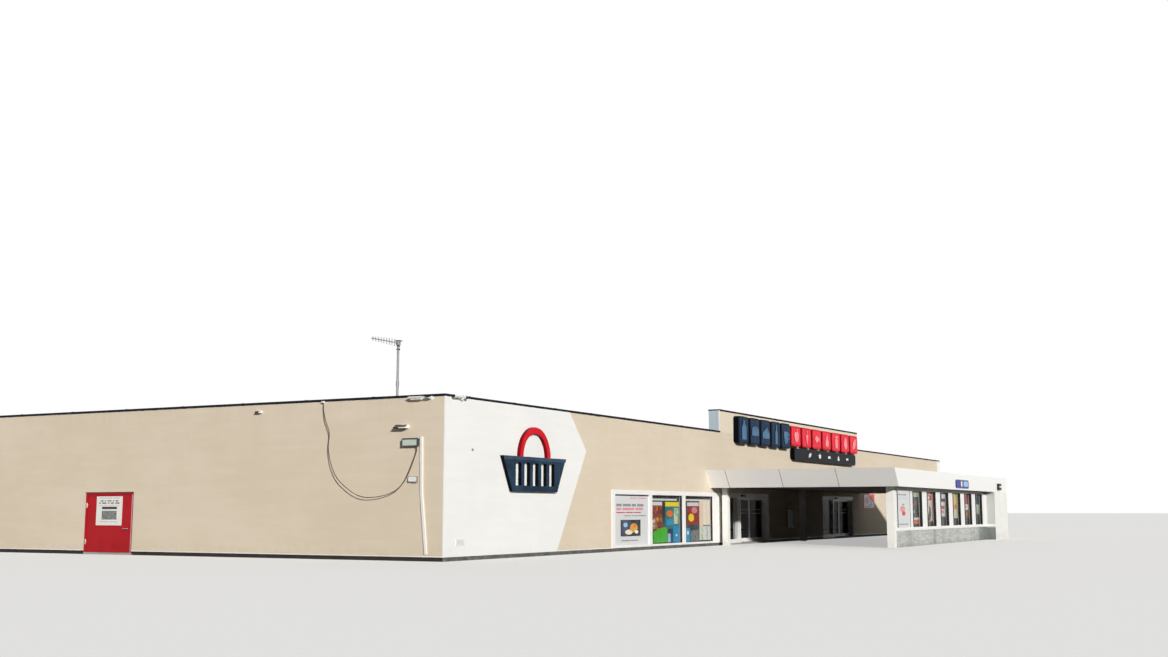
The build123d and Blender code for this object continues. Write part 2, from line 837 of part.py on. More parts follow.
beam_first_x = fascia_inner_x(beam_bottom) + beam_width / 2
beam_last_x = canopy_right_x - fascia_thickness - beam_width / 2
beam_pitch = (beam_last_x - beam_first_x) / (beam_count - 1)
with BuildPart() as canopy_deck:
    with BuildSketch(Plane.XZ.offset(-front_y)):
        with BuildLine():
            Polyline(
                (fascia_inner_x(deck_bottom), deck_bottom),
                (canopy_right_x - fascia_thickness, deck_bottom),
                (canopy_right_x - fascia_thickness, deck_top),
                (fascia_inner_x(deck_top), deck_top),
                close=True,
            )
        make_face()
        with Locations(((beam_first_x + beam_last_x) / 2, beam_bottom + beam_height / 2)):
            with GridLocations(beam_pitch, 0, beam_count, 1):
                Rectangle(beam_width, beam_height)
    extrude(amount=canopy_inner_depth)
canopy_deck.part.label = "canopy_deck"
export_step(canopy_deck.part, "parts/canopy_deck.step")

soffit_top = soffit_bottom + soffit_thickness
with BuildPart() as canopy_soffit:
    with BuildSketch(Plane.XZ.offset(-front_y)):
        with BuildLine():
            Polyline(
                (fascia_inner_x(soffit_bottom), soffit_bottom),
                (canopy_right_x - fascia_thickness, soffit_bottom),
                (canopy_right_x - fascia_thickness, soffit_top),
                (fascia_inner_x(soffit_top), soffit_top),
                close=True,
            )
        make_face()
    extrude(amount=canopy_inner_depth)
canopy_soffit.part.label = "canopy_soffit"
export_step(canopy_soffit.part, "parts/canopy_soffit.step")

with BuildPart() as side_fascia:
    for panel in range(fascia_panel_count):
        panel_end = canopy_inner_depth - panel * fascia_panel_length
        panel_start = max(panel_end - fascia_panel_length + fascia_joint, 0)
        with BuildSketch(Plane.XZ.offset(-front_y + panel_start)):
            with BuildLine():
                Polyline(
                    (left_x + fascia_bottom_start, fascia_bottom),
                    (left_x + fascia_bottom_start + fascia_thickness, fascia_bottom),
                    (left_x + fascia_top_start + fascia_thickness, fascia_top),
                    (left_x + fascia_top_start, fascia_top),
                    close=True,
                )
            make_face()
            with Locations((canopy_right_x - fascia_thickness / 2, (fascia_top + fascia_bottom) / 2)):
                Rectangle(fascia_thickness, fascia_height)
        extrude(amount=panel_end - panel_start)
side_fascia.part.label = "side_fascia"
export_step(side_fascia.part, "parts/side_fascia.step")

front_panel_pitch = (fascia_end - fascia_bottom_start + fascia_joint) / front_panel_count
with BuildPart() as front_fascia:
    with BuildSketch(Plane.XZ.offset(-front_y + canopy_inner_depth)):
        with BuildLine():
            Polyline(
                (left_x + fascia_bottom_start, fascia_bottom),
                (canopy_right_x, fascia_bottom),
                (canopy_right_x, fascia_top),
                (left_x + fascia_top_start, fascia_top),
                close=True,
            )
        make_face()
        for seam in range(1, front_panel_count):
            seam_x = left_x + fascia_bottom_start + seam * front_panel_pitch - fascia_joint / 2
            with Locations((seam_x, (fascia_top + fascia_bottom) / 2)):
                Rectangle(fascia_joint, fascia_height, mode=Mode.SUBTRACT)
    extrude(amount=fascia_thickness)
front_fascia.part.label = "front_fascia"
export_step(front_fascia.part, "parts/front_fascia.step")

# What carries the canopy.
pillar_x = left_x + pillar_start + pillar_size / 2
with BuildPart() as porch_posts:
    with BuildSketch(Plane.XY):
        for column_start in (column_1_start, column_2_start):
            column_x = left_x + column_start + column_size / 2
            with Locations((column_x, front_y - column_from_wall - column_size / 2)):
                Rectangle(column_size, column_size)
        with Locations((pillar_x, screen_y + screen_plinth_thickness - pillar_size / 2)):
            Rectangle(pillar_size, pillar_size)
    extrude(amount=soffit_bottom)
porch_posts.part.label = "porch_posts"
export_step(porch_posts.part, "parts/porch_posts.step")

screen_x = left_x + screen_start + screen_length / 2
with BuildPart() as screen_plinth:
    with BuildSketch(Plane.XY):
        with Locations((screen_x, screen_y + screen_plinth_thickness / 2)):
            Rectangle(screen_length, screen_plinth_thickness)
    extrude(amount=screen_plinth_height)
screen_plinth.part.label = "screen_plinth"
export_step(screen_plinth.part, "parts/screen_plinth.step")

with BuildPart() as screen_frame:
    with BuildSketch(Plane.XZ.offset(-screen_y)):
        with Locations((screen_x, screen_frame_bottom + screen_frame_height / 2)):
            Rectangle(screen_length, screen_frame_height)
        with Locations((left_x + screen_window_middle, screen_window_z)):
            with GridLocations(screen_pitch, 0, screen_window_count, 1):
                Rectangle(screen_window_width, screen_window_height, mode=Mode.SUBTRACT)
        with Locations((left_x + poster_window_start + poster_window_width / 2, screen_window_z)):
            Rectangle(poster_window_width, screen_window_height, mode=Mode.SUBTRACT)
    extrude(amount=-screen_frame_thickness)
    with BuildSketch(Plane.XY.offset(screen_plinth_height)):
        with Locations((screen_x, screen_y + (screen_plinth_thickness - screen_sill_proud) / 2)):
            Rectangle(screen_length, screen_plinth_thickness + screen_sill_proud)
    extrude(amount=screen_sill_height)
screen_frame.part.label = "screen_frame"
export_step(screen_frame.part, "parts/screen_frame.step")

with BuildPart() as screen_glass:
    with BuildSketch(Plane.XZ.offset(-screen_y - screen_frame_thickness / 2)):
        with Locations((left_x + screen_window_middle, screen_window_z)):
            with GridLocations(screen_pitch, 0, screen_window_count, 1):
                Rectangle(screen_window_width, screen_window_height)
        with Locations((left_x + poster_window_start + poster_window_width / 2, screen_window_z)):
            Rectangle(poster_window_width, screen_window_height)
    extrude(amount=-screen_glass_thickness)
screen_glass.part.label = "screen_glass"
export_step(screen_glass.part, "parts/screen_glass.step")

with BuildPart() as end_fin:
    with BuildSketch(Plane.XY):
        with Locations((left_x + fin_start + fin_length / 2, canopy_front_y + fin_thickness / 2)):
            Rectangle(fin_length, fin_thickness)
    extrude(amount=fascia_bottom)
    with BuildSketch(Plane.XY.offset(fascia_bottom)):
        fin_head_depth = fin_thickness - fascia_thickness
        fin_head_length = fin_length - fascia_thickness
        with Locations(
            (left_x + fin_start + fin_head_length / 2, canopy_front_y + fin_thickness - fin_head_depth / 2)
        ):
            Rectangle(fin_head_length, fin_head_depth)
    extrude(amount=soffit_above_fascia)
end_fin.part.label = "end_fin"
export_step(end_fin.part, "parts/end_fin.step")

# The white panel at the corner and the motif on it.
with BuildPart() as corner_panel:
    with BuildSketch(Plane.XZ.offset(-front_y)):
        with BuildLine():
            Polyline(
                (left_x, plinth_height),
                (left_x + panel_bottom_width, plinth_height),
                (left_x + panel_tip_width, panel_tip_height),
                (left_x + panel_top_width, wall_top),
                (left_x, wall_top),
                close=True,
            )
        make_face()
    extrude(amount=panel_thickness)
corner_panel.part.label = "corner_panel"
export_step(corner_panel.part, "parts/corner_panel.step")

panel_face = Plane.XZ.offset(-front_y + panel_thickness)
basket_middle_z = motif_bottom + basket_height / 2
slot_pitch = (basket_bottom_width - basket_bar) / basket_slots
with BuildPart() as wall_motif:
    with BuildSketch(panel_face):
        with BuildLine():
            Polyline(
                (left_x + motif_middle - basket_bottom_width / 2, motif_bottom),
                (left_x + motif_middle + basket_bottom_width / 2, motif_bottom),
                (left_x + motif_middle + basket_top_width / 2, motif_bottom + basket_height),
                (left_x + motif_middle - basket_top_width / 2, motif_bottom + basket_height),
                close=True,
            )
        make_face()
        with Locations((left_x + motif_middle, basket_middle_z)):
            with GridLocations(slot_pitch, 0, basket_slots, 1):
                Rectangle(slot_pitch - basket_bar, basket_height - 2 * basket_bar, mode=Mode.SUBTRACT)
    extrude(amount=motif_depth)
wall_motif.part.label = "wall_motif"
export_step(wall_motif.part, "parts/wall_motif.step")

handle_z = motif_bottom + basket_height
with BuildPart() as motif_handle:
    with BuildSketch(panel_face):
        with Locations((left_x + motif_middle, handle_z)):
            Circle(handle_radius)
            Circle(handle_radius - handle_bar, mode=Mode.SUBTRACT)
        with Locations((left_x + motif_middle, handle_z - handle_radius / 2)):
            Rectangle(2 * handle_radius, handle_radius, mode=Mode.SUBTRACT)
    extrude(amount=motif_depth)
motif_handle.part.label = "motif_handle"
export_step(motif_handle.part, "parts/motif_handle.step")

# The sign on the raised wall.
sign_face = Plane.XZ.offset(-front_y)
with BuildPart() as sign_navy:
    with BuildSketch(sign_face):
        with Locations((left_x + navy_start + navy_length / 2, navy_bottom + navy_tile_height / 2)):
            with GridLocations(navy_pitch, 0, navy_tile_count, 1):
                RectangleRounded(navy_tile_width, navy_tile_height, tile_corner)
    extrude(amount=sign_depth)
sign_navy.part.label = "sign_navy"
export_step(sign_navy.part, "parts/sign_navy.step")

with BuildPart() as sign_red:
    with BuildSketch(sign_face):
        with Locations((left_x + red_start + red_length / 2, red_bottom + red_tile_height / 2)):
            with GridLocations(red_pitch, 0, red_tile_count, 1):
                RectangleRounded(red_tile_width, red_tile_height, tile_corner)
    extrude(amount=sign_depth)
sign_red.part.label = "sign_red"
export_step(sign_red.part, "parts/sign_red.step")

with BuildPart() as sign_bar:
    with BuildSketch(sign_face):
        with Locations((left_x + bar_start + bar_length / 2, bar_bottom + bar_height / 2)):
            RectangleRounded(bar_length, bar_height, tile_corner)
    extrude(amount=sign_depth)
sign_bar.part.label = "sign_bar"
export_step(sign_bar.part, "parts/sign_bar.step")

# The fittings on the left side wall.


def lamp_housing(start, width, bottom, height, reach):
    """Return a wall lamp: a wedge that is open below, placed from the front wall."""
    with BuildPart() as lamp:
        with BuildSketch(Plane.XZ.offset(-front_y - start)):
            with BuildLine():
                Polyline(
                    (left_x, bottom),
                    (left_x - reach, bottom),
                    (left_x - reach, bottom + lamp_lip),
                    (left_x - reach * lamp_top_share, bottom + height),
                    (left_x, bottom + height),
                    close=True,
                )
            make_face()
        extrude(amount=-width)
        with BuildSketch(Plane.XY.offset(bottom)):
            with Locations((left_x - reach / 2, front_y + start + width / 2)):
                Rectangle(reach - 2 * lamp_shell, width - 2 * lamp_shell)
        extrude(amount=lamp_cavity, mode=Mode.SUBTRACT)
    return lamp.part


floodlight_y = front_y + floodlight_start + floodlight_width / 2
floodlight_z = floodlight_bottom + floodlight_height / 2
floodlight_back_x = left_x - floodlight_off_wall
junction_y = front_y + junction_start + junction_width / 2
cable_top_off, cable_top_y, cable_top_z = cable_route[0]
cable_end_off, cable_end_y, cable_end_z = cable_route[-1]
side_camera_y = front_y + side_camera_place
side_camera_x = left_x - camera_reach
with BuildPart() as side_fittings:
    add(lamp_housing(lamp_start, lamp_width, lamp_bottom, lamp_height, lamp_reach))
    add(
        lamp_housing(
            small_lamp_start, small_lamp_width, small_lamp_bottom, small_lamp_height, small_lamp_reach
        )
    )
    with BuildSketch(Plane.YZ.offset(floodlight_back_x)):
        with Locations((floodlight_y, floodlight_z)):
            RectangleRounded(floodlight_width, floodlight_height, floodlight_corner)
    extrude(amount=-floodlight_depth)
    with BuildSketch(Plane.YZ.offset(floodlight_back_x - floodlight_depth)):
        with Locations((floodlight_y, floodlight_z)):
            Rectangle(floodlight_width - 2 * floodlight_rim, floodlight_height - 2 * floodlight_rim)
    extrude(amount=floodlight_recess, mode=Mode.SUBTRACT)
    with BuildSketch(Plane.YZ.offset(left_x)):
        with Locations((floodlight_y, floodlight_z)):
            Rectangle(floodlight_foot_width, floodlight_foot_height)
    extrude(amount=-floodlight_off_wall)
    with BuildSketch(Plane.XY.offset(cable_end_z)):
        with Locations((left_x - cable_end_off, front_y + cable_end_y)):
            Circle(cable_gland_radius)
    extrude(amount=floodlight_bottom - cable_end_z)
    with BuildSketch(Plane.YZ.offset(left_x)):
        with Locations((junction_y, junction_bottom + junction_height / 2)):
            RectangleRounded(junction_width, junction_height, junction_corner)
    extrude(amount=-junction_depth)
    with BuildSketch(Plane.YZ.offset(left_x)):
        with BuildLine():
            Polyline(*[(front_y + back, up) for back, up in trunking_route])
        trace(line_width=trunking_width)
    extrude(amount=-trunking_depth)
    with BuildSketch(Plane.XY.offset(cable_top_z)):
        with Locations((left_x - cable_box_size / 2, front_y + cable_top_y)):
            Rectangle(cable_box_size, cable_box_size)
    extrude(amount=cable_box_height)
    with BuildSketch(Plane.YZ.offset(left_x)):
        with Locations((side_camera_y, camera_z)):
            Circle(camera_plate_radius)
    extrude(amount=-camera_plate_thickness)
    with BuildSketch(Plane.YZ.offset(left_x)):
        with Locations((side_camera_y, camera_z)):
            Circle(camera_arm_radius)
    extrude(amount=-camera_reach)
    with BuildSketch(Plane.XZ.offset(-side_camera_y + camera_arm_radius)):
        with Locations((side_camera_x, camera_z)):
            Circle(camera_arm_radius)
    extrude(amount=-side_camera_arm - camera_arm_radius)
    with BuildSketch(Plane.XZ.offset(-side_camera_y - side_camera_arm)):
        with Locations((side_camera_x, camera_z)):
            Circle(camera_hood_radius)
        with Locations((side_camera_x, camera_z - camera_hood_radius / 2)):
            Rectangle(2 * camera_hood_radius, camera_hood_radius, mode=Mode.SUBTRACT)
        with Locations((side_camera_x, camera_z)):
            Circle(camera_body_radius)
    extrude(amount=-side_camera_length)
side_fittings.part.label = "side_fittings"
export_step(side_fittings.part, "parts/side_fittings.step")

# The fittings on the white corner panel.
camera_plate_x = left_x + front_camera_place
camera_body_y = front_y - panel_thickness - camera_reach
camera_body_z = camera_z + front_camera_rise
vent_x = left_x + vent_start + vent_width / 2
with BuildPart() as front_fittings:
    with BuildSketch(panel_face):
        with Locations((camera_plate_x, camera_z)):
            Circle(camera_plate_radius - camera_plate_thickness)
    extrude(amount=camera_plate_thickness)
    with BuildSketch(panel_face):
        with Locations((camera_plate_x, camera_z)):
            Circle(camera_arm_radius)
    extrude(amount=camera_reach)
    with BuildSketch(Plane.XY.offset(camera_z - camera_arm_radius)):
        with Locations((camera_plate_x, camera_body_y)):
            Circle(camera_riser_radius)
    extrude(amount=front_camera_rise + camera_arm_radius)
    with BuildSketch(Plane.YZ.offset(camera_plate_x - front_camera_arm)):
        with Locations((camera_body_y, camera_body_z)):
            Circle(camera_arm_radius)
    extrude(amount=2 * front_camera_arm)
    for body_x, body_length in (
        (camera_plate_x - front_camera_arm, -front_camera_left_length),
        (camera_plate_x + front_camera_arm, front_camera_right_length),
    ):
        with BuildSketch(Plane.YZ.offset(body_x)):
            with Locations((camera_body_y, camera_body_z)):
                Circle(camera_hood_radius)
            with Locations((camera_body_y, camera_body_z - camera_hood_radius / 2)):
                Rectangle(2 * camera_hood_radius, camera_hood_radius, mode=Mode.SUBTRACT)
            with Locations((camera_body_y, camera_body_z)):
                Circle(camera_body_radius)
        extrude(amount=body_length)
    with BuildSketch(panel_face):
        with Locations((left_x + sensor_place, sensor_z)):
            Circle(sensor_radius)
    extrude(amount=sensor_depth, taper=sensor_taper)
    with BuildSketch(panel_face):
        with Locations((vent_x, vent_bottom + vent_height / 2)):
            Rectangle(vent_width, vent_height)
            with GridLocations(0, vent_slot_pitch, 1, vent_slot_count):
                Rectangle(vent_width - 2 * vent_border, vent_slot_height, mode=Mode.SUBTRACT)
    extrude(amount=vent_depth)
    with BuildSketch(Plane.XZ.offset(-door_frame_front)):
        for sensor_x in (door_1_start + door_1_sensor_place, door_2_start + door_2_sensor_place):
            with Locations((left_x + sensor_x, door_header_bottom + door_sensor_above_header)):
                Rectangle(door_sensor_width, door_sensor_height)
    extrude(amount=door_sensor_depth, taper=door_sensor_taper)
    with BuildSketch(Plane.XZ.offset(-front_y)):
        with Locations((left_x + door_1_start + door_set_width + porch_lamp_past_door, porch_lamp_z)):
            Circle(porch_lamp_radius)
    extrude(amount=porch_lamp_depth, taper=porch_lamp_taper)
    notice_x = left_x + door_1_start + door_set_width + notice_past_door
    with BuildSketch(Plane.XZ.offset(-front_y)):
        with Locations((notice_x, notice_z)):
            Rectangle(notice_width, notice_height)
    extrude(amount=notice_depth)
    with BuildSketch(Plane.XZ.offset(-front_y + notice_depth)):
        with Locations((notice_x, notice_z)):
            Rectangle(notice_width - 2 * notice_rim, notice_height - 2 * notice_rim)
    extrude(amount=-notice_recess, mode=Mode.SUBTRACT)
    with BuildSketch(Plane.XZ.offset(-canopy_front_y)):
        with Locations((left_x + fascia_bottom_start + badge_past_corner, fascia_fitting_z)):
            RectangleRounded(badge_width, badge_height, badge_corner)
    extrude(amount=badge_depth)
    fascia_lamp_x = left_x + fascia_end - fascia_lamp_before_end
    with BuildSketch(Plane.XZ.offset(-canopy_front_y)):
        with Locations((fascia_lamp_x, fascia_fitting_z)):
            Rectangle(fascia_lamp_width, fascia_lamp_height)
    extrude(amount=fascia_lamp_plate)
    with BuildSketch(Plane.XZ.offset(-canopy_front_y + fascia_lamp_plate)):
        with Locations((fascia_lamp_x, fascia_fitting_z)):
            with GridLocations(0, fascia_lamp_height - fascia_lamp_body_height, 1, 2):
                Rectangle(fascia_lamp_width - 2 * notice_rim, fascia_lamp_body_height)
    extrude(amount=fascia_lamp_depth - fascia_lamp_plate)
front_fittings.part.label = "front_fittings"
export_step(front_fittings.part, "parts/front_fittings.step")

# The aerial: a mast on a foot, and a boom with upright rods that points to the left.
mast_x = left_x + aerial_x
mast_y = front_y + aerial_y
mast_length = aerial_top - roof_top
boom_z = aerial_top - aerial_clamp_size / 2
boom_start_x = mast_x - aerial_boom_length
rod_pitch = (aerial_boom_length - aerial_clamp_size) / aerial_rod_count
with BuildPart() as roof_aerial:
    with BuildSketch(Plane.XY.offset(roof_top)):
        with Locations((mast_x, mast_y)):
            RectangleRounded(aerial_foot_size, aerial_foot_size, aerial_foot_thickness)
    extrude(amount=aerial_foot_thickness)
    with BuildSketch(Plane.XY.offset(roof_top)):
        with Locations((mast_x, mast_y)):
            Circle(aerial_mast_radius)
    extrude(amount=mast_length)
    with BuildSketch(Plane.XY.offset(roof_top + mast_length * aerial_sleeve_share)):
        with Locations((mast_x, mast_y)):
            Circle(aerial_sleeve_radius)
    extrude(amount=aerial_sleeve_length)
    with BuildSketch(Plane.XY.offset(aerial_top - aerial_clamp_size)):
        with Locations((mast_x, mast_y)):
            RectangleRounded(aerial_clamp_size, aerial_clamp_size, aerial_clamp_size / 5)
    extrude(amount=aerial_clamp_size)
    with BuildSketch(Plane.YZ.offset(boom_start_x)):
        with Locations((mast_y, boom_z)):
            Rectangle(aerial_boom_size, aerial_boom_size)
    extrude(amount=aerial_boom_length + aerial_boom_past_mast)
    for rod in range(aerial_rod_count):
        rod_length = aerial_rod_length - (aerial_rod_count - 1 - rod) * aerial_rod_shorter
        with BuildSketch(Plane.XY.offset(boom_z - rod_length / 2)):
            with Locations((boom_start_x + (rod + 1 / 2) * rod_pitch, mast_y)):
                RegularPolygon(aerial_rod_radius, aerial_rod_sides)
        extrude(amount=rod_length)
roof_aerial.part.label = "roof_aerial"
export_step(roof_aerial.part, "parts/roof_aerial.step")

# The loose cable: straight runs joined by arcs as large as the runs allow.
cable_points = [Vector(left_x - off, front_y + back, up) for off, back, up in cable_route]
cable_runs = [end - start for start, end in zip(cable_points, cable_points[1:])]
cable_radii = []
for run_before, run_after in zip(cable_runs, cable_runs[1:]):
    shorter_run = min(run_before.length, run_after.length)
    half_turn = radians(run_before.get_angle(run_after)) / 2
    cable_radii.append(cable_arc_share * shorter_run / tan(half_turn))
print("cable radii:", [round(radius) for radius in cable_radii])
with BuildPart() as wall_cable:
    with BuildLine():
        FilletPolyline(*cable_points, radius=cable_radii)
    with BuildSketch(Plane(origin=cable_points[0], z_dir=cable_runs[0])):
        RegularPolygon(cable_diameter / 2, cable_sides)
    sweep()
wall_cable.part.label = "wall_cable"
export_step(wall_cable.part, "parts/wall_cable.step")
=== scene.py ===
"""Looks of a single-storey supermarket building, modelled at half of its real size.

All sizes are in metres of the half-size model.  X runs along the shop front to the right,
Y runs from the front to the back and Z is up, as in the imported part.  Places that are said
to be "along" are measured from the hall's left end, and places "behind" from its front wall.
"""

import logging
import math
from dataclasses import dataclass
from enum import Enum
from typing import Sequence, TypeAlias

import bmesh
import bpy
from mathutils import Matrix, Vector


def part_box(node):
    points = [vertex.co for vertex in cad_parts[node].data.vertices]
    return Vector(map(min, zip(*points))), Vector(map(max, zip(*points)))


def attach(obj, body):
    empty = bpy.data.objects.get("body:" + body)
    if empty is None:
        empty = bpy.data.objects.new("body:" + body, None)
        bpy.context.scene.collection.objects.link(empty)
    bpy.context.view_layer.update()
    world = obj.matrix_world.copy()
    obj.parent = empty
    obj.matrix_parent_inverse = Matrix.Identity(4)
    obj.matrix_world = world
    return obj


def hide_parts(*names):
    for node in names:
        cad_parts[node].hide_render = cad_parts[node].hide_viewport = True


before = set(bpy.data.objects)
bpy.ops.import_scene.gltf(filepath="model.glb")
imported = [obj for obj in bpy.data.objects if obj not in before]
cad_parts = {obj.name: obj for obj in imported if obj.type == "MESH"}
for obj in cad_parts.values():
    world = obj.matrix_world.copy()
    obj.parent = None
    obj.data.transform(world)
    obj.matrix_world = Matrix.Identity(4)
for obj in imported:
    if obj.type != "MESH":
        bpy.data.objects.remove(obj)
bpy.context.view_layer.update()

log = logging.getLogger("supermarket")

Point: TypeAlias = tuple[float, float, float]
Flat: TypeAlias = tuple[float, float]
Pane: TypeAlias = tuple[float, float, float, float]
Colour: TypeAlias = tuple[float, float, float, float]
Number: TypeAlias = "Signal | float"
Tone: TypeAlias = "Signal | Colour"
Stock: TypeAlias = dict[str, bpy.types.Material]

BUILDING = "building"
IMAGE_WIDTH = 1168
SENSOR_WIDTH = 36.0


def paint(red: int, green: int, blue: int) -> Colour:
    """Turn the numbers of a paint card into the linear colour that a shader takes.

    Args:
        red: Red from 0 to 255.
        green: Green from 0 to 255.
        blue: Blue from 0 to 255.

    Returns:
        The linear colour with full opacity.
    """
    shares = (part / 255 for part in (red, green, blue))
    linear = (share / 12.92 if share <= 0.04045 else ((share + 0.055) / 1.055) ** 2.4 for share in shares)
    return (*linear, 1.0)


class Facing(Enum):
    """The plane that an outline is drawn on, by the axes of its two coordinates."""

    FRONT = (0, 2, 1)
    SIDE = (1, 2, 0)


@dataclass(frozen=True)
class Zone:
    """A block-shaped region of a node that has a colour of its own."""

    low: Point
    high: Point
    colour: Colour


class Signal:
    """A shader socket that takes part in Python arithmetic."""

    def __init__(self, shader: "Shader", socket: bpy.types.NodeSocket) -> None:
        """Wrap an output socket of a shader's node tree."""
        self.shader = shader
        self.socket = socket

    def _math(self, operation: str, first: Number, second: Number) -> "Signal":
        """Add one Math node and return its value."""
        return self.shader.node("Math", {"operation": operation}, {0: first, 1: second})

    def __add__(self, other: Number) -> "Signal":
        """Return the sum."""
        return self._math("ADD", self, other)

    __radd__ = __add__

    def __mul__(self, other: Number) -> "Signal":
        """Return the product."""
        return self._math("MULTIPLY", self, other)

    def __sub__(self, other: Number) -> "Signal":
        """Return the difference."""
        return self._math("SUBTRACT", self, other)

    def __rsub__(self, other: Number) -> "Signal":
        """Return the difference from a number."""
        return self._math("SUBTRACT", other, self)

    def __truediv__(self, other: Number) -> "Signal":
        """Return the quotient."""
        return self._math("DIVIDE", self, other)

    def __pow__(self, other: float) -> "Signal":
        """Return the power."""
        return self._math("POWER", self, other)

    def __gt__(self, other: Number) -> "Signal":
        """Return 1 where this value is the larger, and 0 elsewhere."""
        return self._math("GREATER_THAN", self, other)

    def __lt__(self, other: Number) -> "Signal":
        """Return 1 where this value is the smaller, and 0 elsewhere."""
        return self._math("LESS_THAN", self, other)

    def fraction(self) -> "Signal":
        """Return what stands behind the point."""
        return self._math("FRACT", self, 0.0)

    def fade(self, start: float, end: float) -> "Signal":
        """Return 0 before start and 1 past end, with a smooth change between them."""
        sockets = {"Value": self, "From Min": start, "From Max": end}
        return self.shader.node("MapRange", {"interpolation_type": "SMOOTHSTEP"}, sockets)


class Shader:
    """The node tree of a material or of the world, with one way to add a node."""

    def __init__(self, name: str, world: bool = False) -> None:
        """Start an empty tree in a new material, or in a new world, of that name."""
        self.material = (bpy.data.worlds if world else bpy.data.materials).new(name)
        self.material.use_nodes = True
        self.tree = self.material.node_tree
        self.tree.nodes.clear()
        self.output = self.tree.nodes.new("ShaderNodeOutputWorld" if world else "ShaderNodeOutputMaterial")
        self.place = self.node("TexCoord", {}, {}, "Generated" if world else "Object")
        self.normal = self.node("TexCoord", {}, {}, "Normal")

    def node(self, kind: str, settings: dict, sockets: dict, result: "int | str" = 0) -> Signal:
        """Add a node, set it up and give one of its outputs.

        Args:
            kind: The node's type name after its first word, ShaderNode.
            settings: Its properties, which are set first; stops fill a colour ramp.
            sockets: Values or links of its inputs, by name or number.
            result: The name or number of the output to return.

        Returns:
            That output.
        """
        made = self.tree.nodes.new(f"ShaderNode{kind}")
        for key, value in settings.items():
            if key == "stops":
                self._fill_ramp(made.color_ramp, value)
            else:
                setattr(made, key, value)
        for key, value in sockets.items():
            if isinstance(value, Signal):
                self.tree.links.new(value.socket, made.inputs[key])
            else:
                made.inputs[key].default_value = value
        return Signal(self, made.outputs[result])

    def _fill_ramp(self, ramp: bpy.types.ColorRamp, stops: Sequence[tuple[float, Colour]]) -> None:
        """Give a colour ramp its stops."""
        while len(ramp.elements) < len(stops):
            ramp.elements.new(1.0)
        for element, (position, colour) in zip(ramp.elements, stops):
            element.position = position
            element.color = colour

    def vector(self, operation: str, first: Signal, second: "Signal | Point" = (0.0, 0.0, 0.0)) -> Signal:
        """Add one Vector Math node and return its vector."""
        return self.node("VectorMath", {"operation": operation}, {0: first, 1: second})

    def axis(self, letter: str, vector: "Signal | None" = None) -> Signal:
        """Return one coordinate of a vector, by default of the place on the object."""
        return self.node("SeparateXYZ", {}, {0: vector or self.place}, letter)

    def noise(self, scale: float, detail: float = 3.0, stretch: "Point | None" = None) -> Signal:
        """Return a soft noise from 0 to 1.

        Args:
            scale: How many blotches there are in a metre.
            detail: How many finer layers lie over them.
            stretch: What the place is multiplied by along each axis, if anything.

        Returns:
            The noise value.
        """
        place = self.vector("MULTIPLY", self.place, stretch) if stretch else self.place
        sockets = {"Vector": place, "Scale": scale, "Detail": detail, "Roughness": 0.6}
        return self.node("TexNoise", {"noise_dimensions": "3D"}, sockets, "Fac")

    def cells(self, scale: float, result: str = "Distance") -> Signal:
        """Return a cell pattern: the distance in each cell, or its colour."""
        return self.node("TexVoronoi", {"feature": "F1"}, {"Vector": self.place, "Scale": scale}, result)

    def within(self, zone: Zone) -> Signal:
        """Return 1 inside a zone, and 0 outside it."""
        middle = tuple((first + second) / 2 for first, second in zip(zone.low, zone.high))
        half = tuple((second - first) / 2 for first, second in zip(zone.low, zone.high))
        distance = self.vector("ABSOLUTE", self.vector("SUBTRACT", self.place, middle))
        outside = self.vector("SUBTRACT", distance, half)
        inside = [self.axis(letter, outside) < 0.0 for letter in "XYZ"]
        return inside[0] * inside[1] * inside[2]

    def zoned(self, colour: Tone, zones: Sequence[Zone]) -> Tone:
        """Return a colour with the zones laid over it."""
        for zone in zones:
            colour = self.blend(self.within(zone), colour, zone.colour)
        return colour

    def painted_side_tone(self, colour: Tone, tone: "Colour | None") -> Tone:
        """Return a colour that gives way to another on the faces that look left, as painted light or shade
        on that side.
        """
        if tone is None:
            return colour
        share = (self.axis("X", self.normal) * -1.0).fade(0.6, 0.75)
        return self.blend(share, colour, tone)

    def blend(self, share: Number, first: Tone, second: Tone) -> Signal:
        """Mix two colours.

        Args:
            share: How much of the second colour shows.
            first: The colour at a share of 0.
            second: The colour at a share of 1.

        Returns:
            The mixed colour.
        """
        settings = {"data_type": "RGBA", "blend_type": "MIX"}
        return self.node("Mix", settings, {0: share, 6: first, 7: second}, 2)

    def finish(
        self,
        colour: Tone,
        roughness: Number,
        relief: "tuple[Signal, float, float] | None" = None,
        **sockets: Tone,
    ) -> bpy.types.Material:
        """Put a Principled surface at the end of the tree.

        Args:
            colour: Its colour.
            roughness: Its roughness.
            relief: The height of its bumps, their strength and their depth.
            sockets: Its other inputs, with an underscore for each space in a name.

        Returns:
            The finished material.
        """
        named = {key.replace("_", " "): value for key, value in sockets.items()}
        named.update({"Base Color": colour, "Roughness": roughness})
        if relief is not None:
            bumps = dict(zip(("Height", "Strength", "Distance"), relief))
            named["Normal"] = self.node("Bump", {}, bumps, "Normal")
        surface = self.node("BsdfPrincipled", {}, named, "BSDF")
        self.tree.links.new(surface.socket, self.output.inputs["Surface"])
        return self.material


